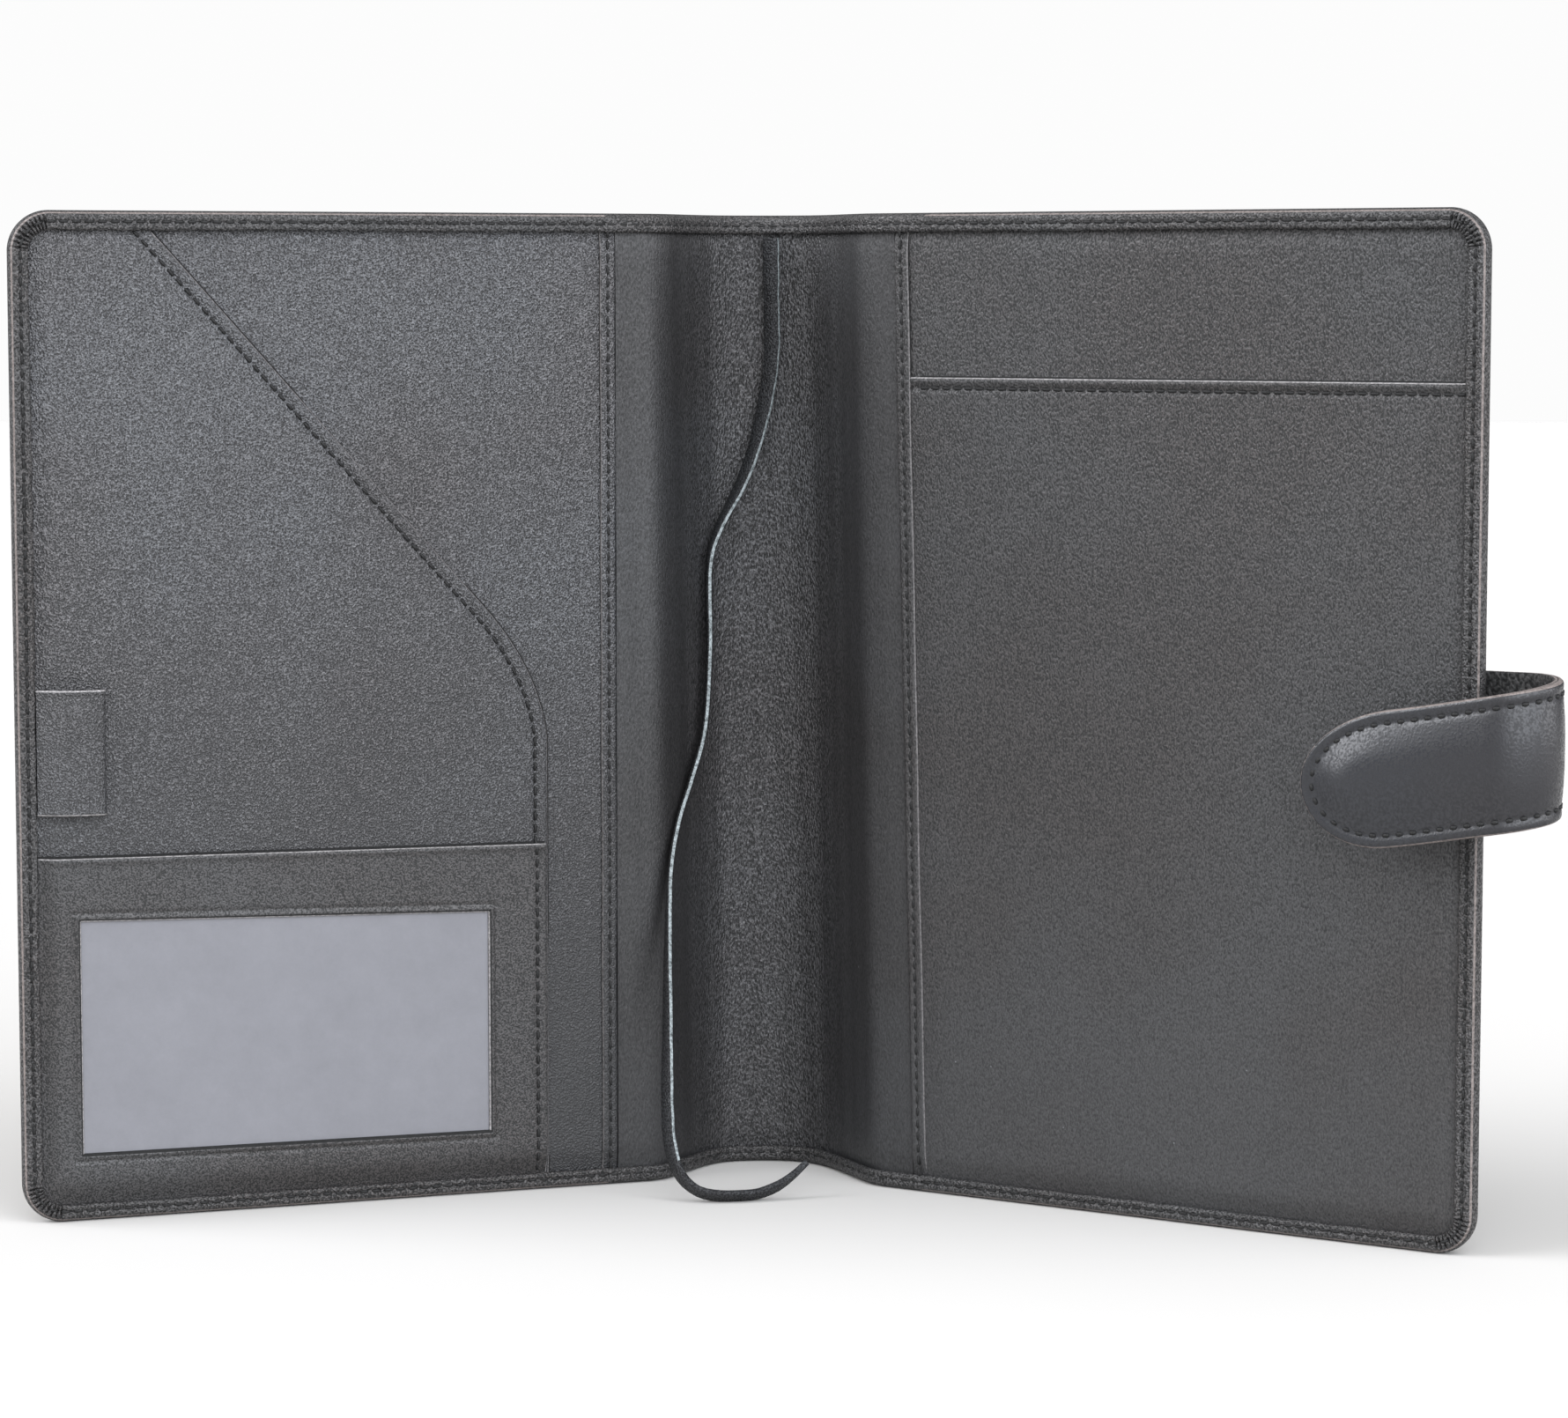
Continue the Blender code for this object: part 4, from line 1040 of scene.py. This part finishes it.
GUTTER_HEAD = gutter_path(BACK_STRIP_HEAD)
GUTTER_FOOT = gutter_path(BACK_STRIP_FOOT)
GUTTER_LENGTHS = travelled(GUTTER_HEAD)
GUTTER_END = float(GUTTER_LENGTHS[-1])
CROWN = float(GUTTER_LENGTHS[len(GUTTER_HEAD) // 2])


def gutter_place(distance, z, depth):
    """A point in the gutter: a distance along its line, a height and a depth."""
    distance, z, depth = np.broadcast_arrays(*(np.asarray(v, float) for v in (distance, z, depth)))

    def spot(values):
        inside = np.clip(values, 0, GUTTER_END)
        ends = [np.stack([np.interp(inside, GUTTER_LENGTHS, part) for part in line.T], axis=-1)
                for line in (GUTTER_FOOT, GUTTER_HEAD)]
        return between(ends, (z / HEIGHT)[..., None])

    heading = unit(spot(distance + 0.6) - spot(distance - 0.6))
    outward = np.stack([-heading[..., 1], heading[..., 0]], axis=-1)
    plan = spot(distance) + outward * (NEUTRAL - depth)[..., None]
    return np.concatenate([plan, z[..., None]], axis=-1)


def gutter_halves():
    """The gutter's halves: a cover, the stretch to or from the crown, and the fold between them.

    A half stands for a CAD node only on the front side, so the last item is that of one node.
    """
    for cover, start, end in ((FRONT, 0.0, CROWN), (BACK, CROWN, GUTTER_END)):
        fold = ("spine", cover.body, cover.fold + towards_crown(cover) * 7.0,
                cover.fold + cover.along * 2.2)
        yield cover, start, end, fold, (lambda node, first=cover is FRONT: (node,) if first else ())


def gutter_shell():
    """The spine's outer leather with its turned head and foot, as two halves that meet at the crown."""
    section = [(depth, narrowed(inset, depth, 1.0)) for inset, depth in BORDER_PROFILE]
    section += [(depth, HEIGHT - narrowed(inset, depth, 0.0))
                for inset, depth in reversed(BORDER_PROFILE)]
    count = len(section)
    for cover, start, end, fold, on_front in gutter_halves():
        rings = []
        for distance in runs((start, end, BORDER_STEP)):
            ring = []
            squeeze = 0.1 * math.sin(distance / 1.7) + 0.08 * math.sin(distance / 0.9 + 1)
            for k, (depth, z) in enumerate(section):
                inset = min(z, HEIGHT - z)
                lift = 0.0
                if inset < 4.9 and depth > 4.4:
                    lift = 0.08 * crumple(distance, k) + (squeeze if inset > 2.7 else 0.0)
                ring.append(gutter_place(distance, z, depth + lift))
            rings.append(ring)
        made = swept(f"spine_leather_{cover.name}", rings, OUTER_LEATHER)
        paint_rings(made, count, (OUTER_FACE, lambda places: all(
            min(place, -place % count) <= FACE_PLACES + 1 for place in places)))
        finish_piece(made, "outer_leather", fold, *on_front("spine_leather"))
        for end_name, height in (("foot", BORDER_SEAM), ("head", HEIGHT - BORDER_SEAM)):
            distance = runs((start, end, 1.0))
            line = gutter_place(distance, height, 5.0)
            stitches(f"spine_{end_name}_stitches_{cover.name}", line,
                     gutter_place(distance, height, 6.0) - line, fold,
                     *on_front(f"spine_{end_name}_thread"))


def gutter_lining():
    """The gutter's inner leather, from one binding to the other, as two halves."""
    z = sheet_rows()
    for cover, start, end, fold, on_front in gutter_halves():
        under_strip = PANEL_START - cover.strip_u(0, z) + 0.15
        first, last = (start + under_strip, end) if cover is FRONT else (start, end - under_strip)
        distance = np.linspace(first + 0 * z, last + 0 * z, 60, axis=1)
        z_grid = np.repeat(z[:, None], distance.shape[1], axis=1)
        away = sunk(np.full_like(z_grid, 60.0), z_grid)
        ripple = 0.1 * np.sin(distance / 2.3 + z_grid / 90) + 0.07 * np.sin(distance / 1.1 + z_grid / 40)
        top = LINING_TOP + ripple * (1 - away) - 0.35 * away
        made = slab(f"spine_lining_{cover.name}", gutter_place(distance, z_grid, top),
                    gutter_place(distance, z_grid, top - 0.9), GUTTER_LEATHER)
        finish_piece(made, "inner_leather", fold, *on_front("spine_lining"))


def gutter_reinforcement():
    """The cloth strip inside the spine, from one flank to the other."""
    distance = runs((PANEL_START + 12.0, GUTTER_END - PANEL_START - 14.0, 1.2))
    z = runs((7.0, HEIGHT - 7.0, 6.0))
    grid = np.meshgrid(distance, z)
    made = slab("spine_reinforcement_cloth", gutter_place(*grid, SPINE_CLOTH[1]),
                gutter_place(*grid, SPINE_CLOTH[0]), CLOTH)
    finish_piece(made, "lining_cloth", "spine", "spine_reinforcement")


# ---------------------------------------------------------------- the strap


def strap_point(distance, z, lift):
    """A point at a distance along the strap from its fold, lifted off the plies' middle."""
    past = distance - STRAP_OUT
    angle = min(max(past / STRAP_BEND_RADIUS, 0.0), math.pi)
    reach = STRAP_BEND_RADIUS + lift
    u = STRAP_BEND_U + min(past, 0.0) - max(past - STRAP_BEND, 0.0) + reach * math.sin(angle)
    return BACK.place(u, z, STRAP_MIDDLE + STRAP_BEND_RADIUS - reach * math.cos(angle))


def strap_height(distance):
    left = STRAP_TOTAL - distance
    return STRAP_ROOT_Z - STRAP_DROOP * (1 - float(smooth_step(left / STRAP_DROOP_LENGTH)))


def strap_half_width(distance, inset=0.0):
    """Half the tab's width, or of the outline that runs inside it at an inset."""
    left = STRAP_TOTAL - distance - inset
    tip = STRAP_TIP_LENGTH - inset
    if left >= tip:
        return STRAP_HALF - inset
    return (STRAP_HALF - inset) * math.sqrt(max(1 - (1 - left / tip) ** 2, 0.0))


def strap_padding(distance):
    """How much of the tab's padding there is, from none before the bend to 1."""
    return float(smooth_step((distance - STRAP_OUT - STRAP_BEND * 0.2) / 16.0))


def tab_spot(distance, share):
    """The height of a point of the tab or the neck, and its distance from the edge."""
    half = strap_half_width(distance)
    from_edge = half * (1 - abs(share))
    to_tip = STRAP_TOTAL - distance
    if to_tip < STRAP_TIP_LENGTH:
        x = 1 - to_tip / STRAP_TIP_LENGTH
        y = abs(share) * half / STRAP_HALF
        radial = math.hypot(x, y)
        reach = math.hypot(x * STRAP_TIP_LENGTH, y * STRAP_HALF) / radial if radial else STRAP_HALF
        from_edge = (1 - radial) * reach
    return strap_height(distance) + half * share, max(from_edge, 0.0)


def tab_levels(distance, from_edge, upper):
    """The lifts of a ply's upper and lower side in the tab and the neck."""
    if not upper:
        return -STRAP_GLUE - edge_drop(from_edge, 0.12), -STRAP_PLY + edge_drop(from_edge, 0.35)
    pad = strap_padding(distance)
    full = float(smooth_step((distance - STRAP_OUT - STRAP_BEND) / 30.0))
    swell = pad * (1.1 + 0.95 * full) * float(smooth_step((from_edge - 2.0) / 8.5))
    lift = STRAP_TOP + 0.35 * pad + swell - 0.35 * float(dent(from_edge - STRAP_SEAM, 0.6))
    return lift - edge_drop(from_edge, 0.8), STRAP_GLUE


ROOT_START = STRAP_ROOT[0] - STRAP_ROOT[1]
ROOT_CORNER = 4.0


def root_spot(distance, share):
    """As tab_spot, for the root, which has two rounded corners at its sewn end."""
    into = distance - ROOT_START
    half = STRAP_HALF
    if into < ROOT_CORNER:
        half += math.sqrt(max(ROOT_CORNER ** 2 - (ROOT_CORNER - into) ** 2, 0.0)) - ROOT_CORNER
    return STRAP_ROOT_Z + half * share, max(min(half * (1 - abs(share)), into), 0.0)


def root_levels(distance, from_edge, upper):
    if not upper:
        return -STRAP_GLUE - edge_drop(from_edge, 0.12), -STRAP_PLY + edge_drop(from_edge, 0.1)
    groove = 0.25 * float(dent(from_edge - STRAP_SEAM, 0.5))
    return STRAP_TOP - groove - edge_drop(from_edge, 0.5), STRAP_GLUE + edge_drop(from_edge, 0.12)


def strap_ply(name, upper, stations, shares, spot, levels, rim=False):
    """One ply over a grid of stations and shares of its half width: the upper or the lower one."""
    shares = (*(-share for share in shares), *shares[-2::-1])
    grid = [[(distance, *spot(distance, share)) for share in shares] for distance in stations]
    top, bottom = (
        np.array([[strap_point(distance, z, levels(distance, from_edge, upper)[side])
                   for distance, z, from_edge in row] for row in grid])
        for side in (0, 1)
    )
    # The upper ply's outermost rim takes the pale edge paint, partly as a painted highlight
    rim_highlight = cells(np.array([[from_edge for *_, from_edge in row] for row in grid])) < 0.26
    return slab(name, top, bottom, STRAP_LEATHER if upper else STRAP_UNDERSIDE,
                edge_material=STRAP_EDGE_PAINT_AND_HIGHLIGHT, looks=((STRAP_EDGE_PAINT_AND_HIGHLIGHT, rim_highlight),) if rim and upper else ())


def strap():
    """The strap: a root sewn on the back cover, a neck round the fold, and the free tab."""
    turned = BACK.place(STRAP_ROOT[1], STRAP_ROOT_Z, STRAP_MIDDLE)
    fold = ("back_cover", "strap", turned - BACK.along * STRAP_FOLD_REACH,
            turned + BACK.along * STRAP_FOLD_REACH)
    tip = STRAP_TOTAL - STRAP_TIP_LENGTH
    before_tip = runs((STRAP_NECK, tip, STRAP_STEP))
    tab_stations = [*before_tip[:-1],
                    *(tip + (STRAP_TIP_LENGTH - 0.03) * np.sin(np.linspace(0, math.pi / 2, 22)))]
    neck_stations = runs((-STRAP_NECK, STRAP_NECK, STRAP_STEP))
    plies = (("outer", True, ("strap_outer_ply", "strap_padding")), ("inner", False, ("strap_inner_ply",)))
    for name, upper, nodes in plies:
        tab = strap_ply(f"strap_{name}_leather", upper, tab_stations, TAB_SHARES, tab_spot, tab_levels,
                        rim=True)
        finish_piece(tab, "strap_leather", "strap", *nodes)
        neck = strap_ply(f"strap_neck_{name}", upper, neck_stations, TAB_SHARES, tab_spot, tab_levels,
                         rim=True)
        finish_piece(neck, "strap_leather", fold)
    rounded = ROOT_START + 0.02 + (ROOT_CORNER - 0.02) * (1 - np.cos(np.linspace(0, math.pi / 2, 10)))
    root_stations = [*rounded, *runs((ROOT_START + ROOT_CORNER, -STRAP_NECK, 1.6))[1:]]
    for name, upper, _ in plies:
        root = strap_ply(f"strap_root_{name}", upper, root_stations, ROOT_SHARES, root_spot, root_levels)
        finish_piece(root, "strap_leather", "back_cover", f"strap_root_{name}_ply")
    strap_seams(tip, before_tip, neck_stations, fold)


def strap_seams(tip, before_tip, neck_stations, fold):
    """Stitches along the strap's edges and round both of its ends."""

    def row(name, route, holder, *nodes):
        line = np.array([strap_point(*spot) for spot in route])
        raised = np.array([strap_point(distance, z, lift + 1.0) for distance, z, lift in route])
        stitches(name, line, raised - line, holder, *nodes, radius=0.42, pitch=3.0, length=1.7)

    reach = STRAP_HALF - STRAP_SEAM
    upper = [(distance, strap_half_width(distance, STRAP_SEAM)) for distance in before_tip]
    upper += [(tip + (STRAP_TIP_LENGTH - STRAP_SEAM) * math.sin(turn), reach * math.cos(turn))
              for turn in np.linspace(0, math.pi / 2, 16)[1:]]
    route = upper + [(distance, -z) for distance, z in reversed(upper[:-1])]
    row("strap_stitches", [(d, strap_height(d) + z, 0.8 + 0.35 * strap_padding(d)) for d, z in route],
        "strap", "strap_thread")
    for name, sign in (("upper", 1), ("lower", -1)):
        row(f"strap_neck_stitches_{name}",
            [(distance, STRAP_ROOT_Z + sign * reach, 0.85) for distance in neck_stations], fold)
    start = ROOT_START + STRAP_SEAM
    ends = [(-STRAP_NECK, reach), (start, reach), (start, -reach), (-STRAP_NECK, -reach)]
    dense = [(between((d0, d1), i / 12), between((z0, z1), i / 12))
             for (d0, z0), (d1, z1) in zip(ends, ends[1:]) for i in range(12)]
    row("strap_root_stitches", [(d, STRAP_ROOT_Z + z, 0.85) for d, z in (*dense, ends[-1])],
        "back_cover", "strap_root_thread")


# ---------------------------------------------------------------- the bookmark thong


def smooth_route(points):
    """Closely spaced points on a Catmull-Rom curve through the given ones."""
    knots = np.array(points, float)
    knots = np.concatenate([[2 * knots[0] - knots[1]], knots, [2 * knots[-1] - knots[-2]]])
    t = np.arange(24)[:, None] / 24
    spans = [(2 * b + (c - a) * t + (2 * a - 5 * b + 4 * c - d) * t * t
              + (3 * b - a - 3 * c + d) * t ** 3) / 2
             for a, b, c, d in zip(knots, knots[1:], knots[2:], knots[3:])]
    return np.concatenate([*spans, knots[-2:-1]])


def thong():
    """The flat leather thong, face on at its top and turning edge on as it swings aside."""
    fine = smooth_route(THONG_ROUTE)
    route = evenly(fine, 150)
    headings = unit(np.gradient(route, axis=0))
    shares = np.linspace(0.0, 1.0, len(route))
    turns = np.radians(np.interp(shares, *zip(*THONG_TURNS)))
    half, thin, bevel = THONG_WIDTH / 2, THONG_THICKNESS / 2, THONG_BEVEL
    section = ((half, -thin + bevel), (half, thin - bevel), (half - bevel, thin), (0.0, thin),
               (-half + bevel, thin), (-half, thin - bevel), (-half, -thin + bevel),
               (-half + bevel, -thin), (0.0, -thin), (half - bevel, -thin))
    rings = []
    for share, turn, spot, heading in zip(shares, turns, route, headings):
        across = unit(np.cross(heading, (0.0, 1.0, 0.0)))
        wide = across * math.cos(turn) + np.cross(across, heading) * math.sin(turn)
        flat = np.cross(heading, wide)
        narrow = 1.0 - 0.75 * float(smooth_step((share - 0.95) / 0.05))
        waver = 1.0 + 0.03 * math.sin(share * 91.0) + 0.03 * math.sin(share * 217.0)
        rings.append([spot + wide * a * narrow * waver + flat * b for a, b in section])
    made = swept("bookmark_thong_leather", rings, THONG_LEATHER)
    paint_rings(made, len(section), (THONG_EDGE, lambda places: places in ({0, 1}, {5, 6})),
                before=0.86 * len(rings) * len(section))
    finish_piece(made, "thong_leather", "spine", "bookmark_thong")


# ---------------------------------------------------------------- stage


def camera():
    data = bpy.data.cameras.new("camera")
    data.lens = CAMERA_LENS
    data.sensor_width = 36.0
    made = bpy.data.objects.new("camera", data)
    bpy.context.scene.collection.objects.link(made)
    made.location = CAMERA_PLACE
    made.rotation_euler = (math.pi / 2 - CAMERA_PITCH, 0.0, 0.0)
    bpy.context.scene.camera = made


def studio_world():
    """Plain white behind the object, and for light a dome with a few wide, soft lobes."""
    world = bpy.data.worlds.new("studio")
    bpy.context.scene.world = world
    world.use_nodes = True
    tree = world.node_tree
    around = add_node(tree, "TexCoord", {}).outputs["Generated"]
    total = DOME_BASE
    for direction, begin, color in DOME_LOBES:
        toward = add_node(tree, "VectorMath", {0: around, 1: Vector(direction).normalized()},
                          operation="DOT_PRODUCT")
        inputs = {"Value": toward.outputs["Value"], "From Min": begin, "From Max": 0.98}
        rise = add_node(tree, "MapRange", inputs, interpolation_type="SMOOTHSTEP")
        total = add_node(tree, "VectorMath", {0: rise.outputs["Result"], 1: color, 2: total},
                         operation="MULTIPLY_ADD").outputs["Vector"]
    seen = add_node(tree, "LightPath", {}).outputs["Is Camera Ray"]
    mix = add_node(tree, "Mix", {"Factor": seen, "A": total, "B": (BACKDROP,) * 3},
                   data_type="VECTOR")
    feed(tree, tree.nodes["Background"], {"Color": mix.outputs["Result"], "Strength": 1.0})


def stage():
    paper = noisy("paper_floor", (3.0, 2.0), FLOOR_TONES, 0.9, other={"Specular IOR Level": 0.0})
    corners = [(x * FLOOR_REACH, y * FLOOR_REACH, 0) for x, y in ((-1, -1), (1, -1), (1, 1), (-1, 1))]
    mesh_object("floor", corners, [(0, 1, 2, 3)], paper)
    studio_world()
    bpy.context.scene.view_settings.view_transform = "Standard"


def carried_over_nodes():
    """Better materials on the CAD nodes that keep their own shape."""
    for material, names in (
        (BOARD, ("front_cover_board", "back_cover_board")),
        (CLOTH, ("front_cover_lining", "back_cover_lining")),
        (STEEL, ("front_magnet_plate", "strap_magnet")),
    ):
        for name in names:
            node = frame["nodes"][name]
            node.data.materials.clear()
            node.data.materials.append(material)


def build():
    camera()
    thong()
    for cover, own_pieces in ((FRONT, (diagonal_pocket, card_pocket, pen_loop)), (BACK, (document_pocket,))):
        shell(cover)
        sleeve(cover)
        binding(cover)
        for make in own_pieces:
            make()
    gutter_shell()
    gutter_lining()
    gutter_reinforcement()
    strap()
    carried_over_nodes()
    stage()


build()
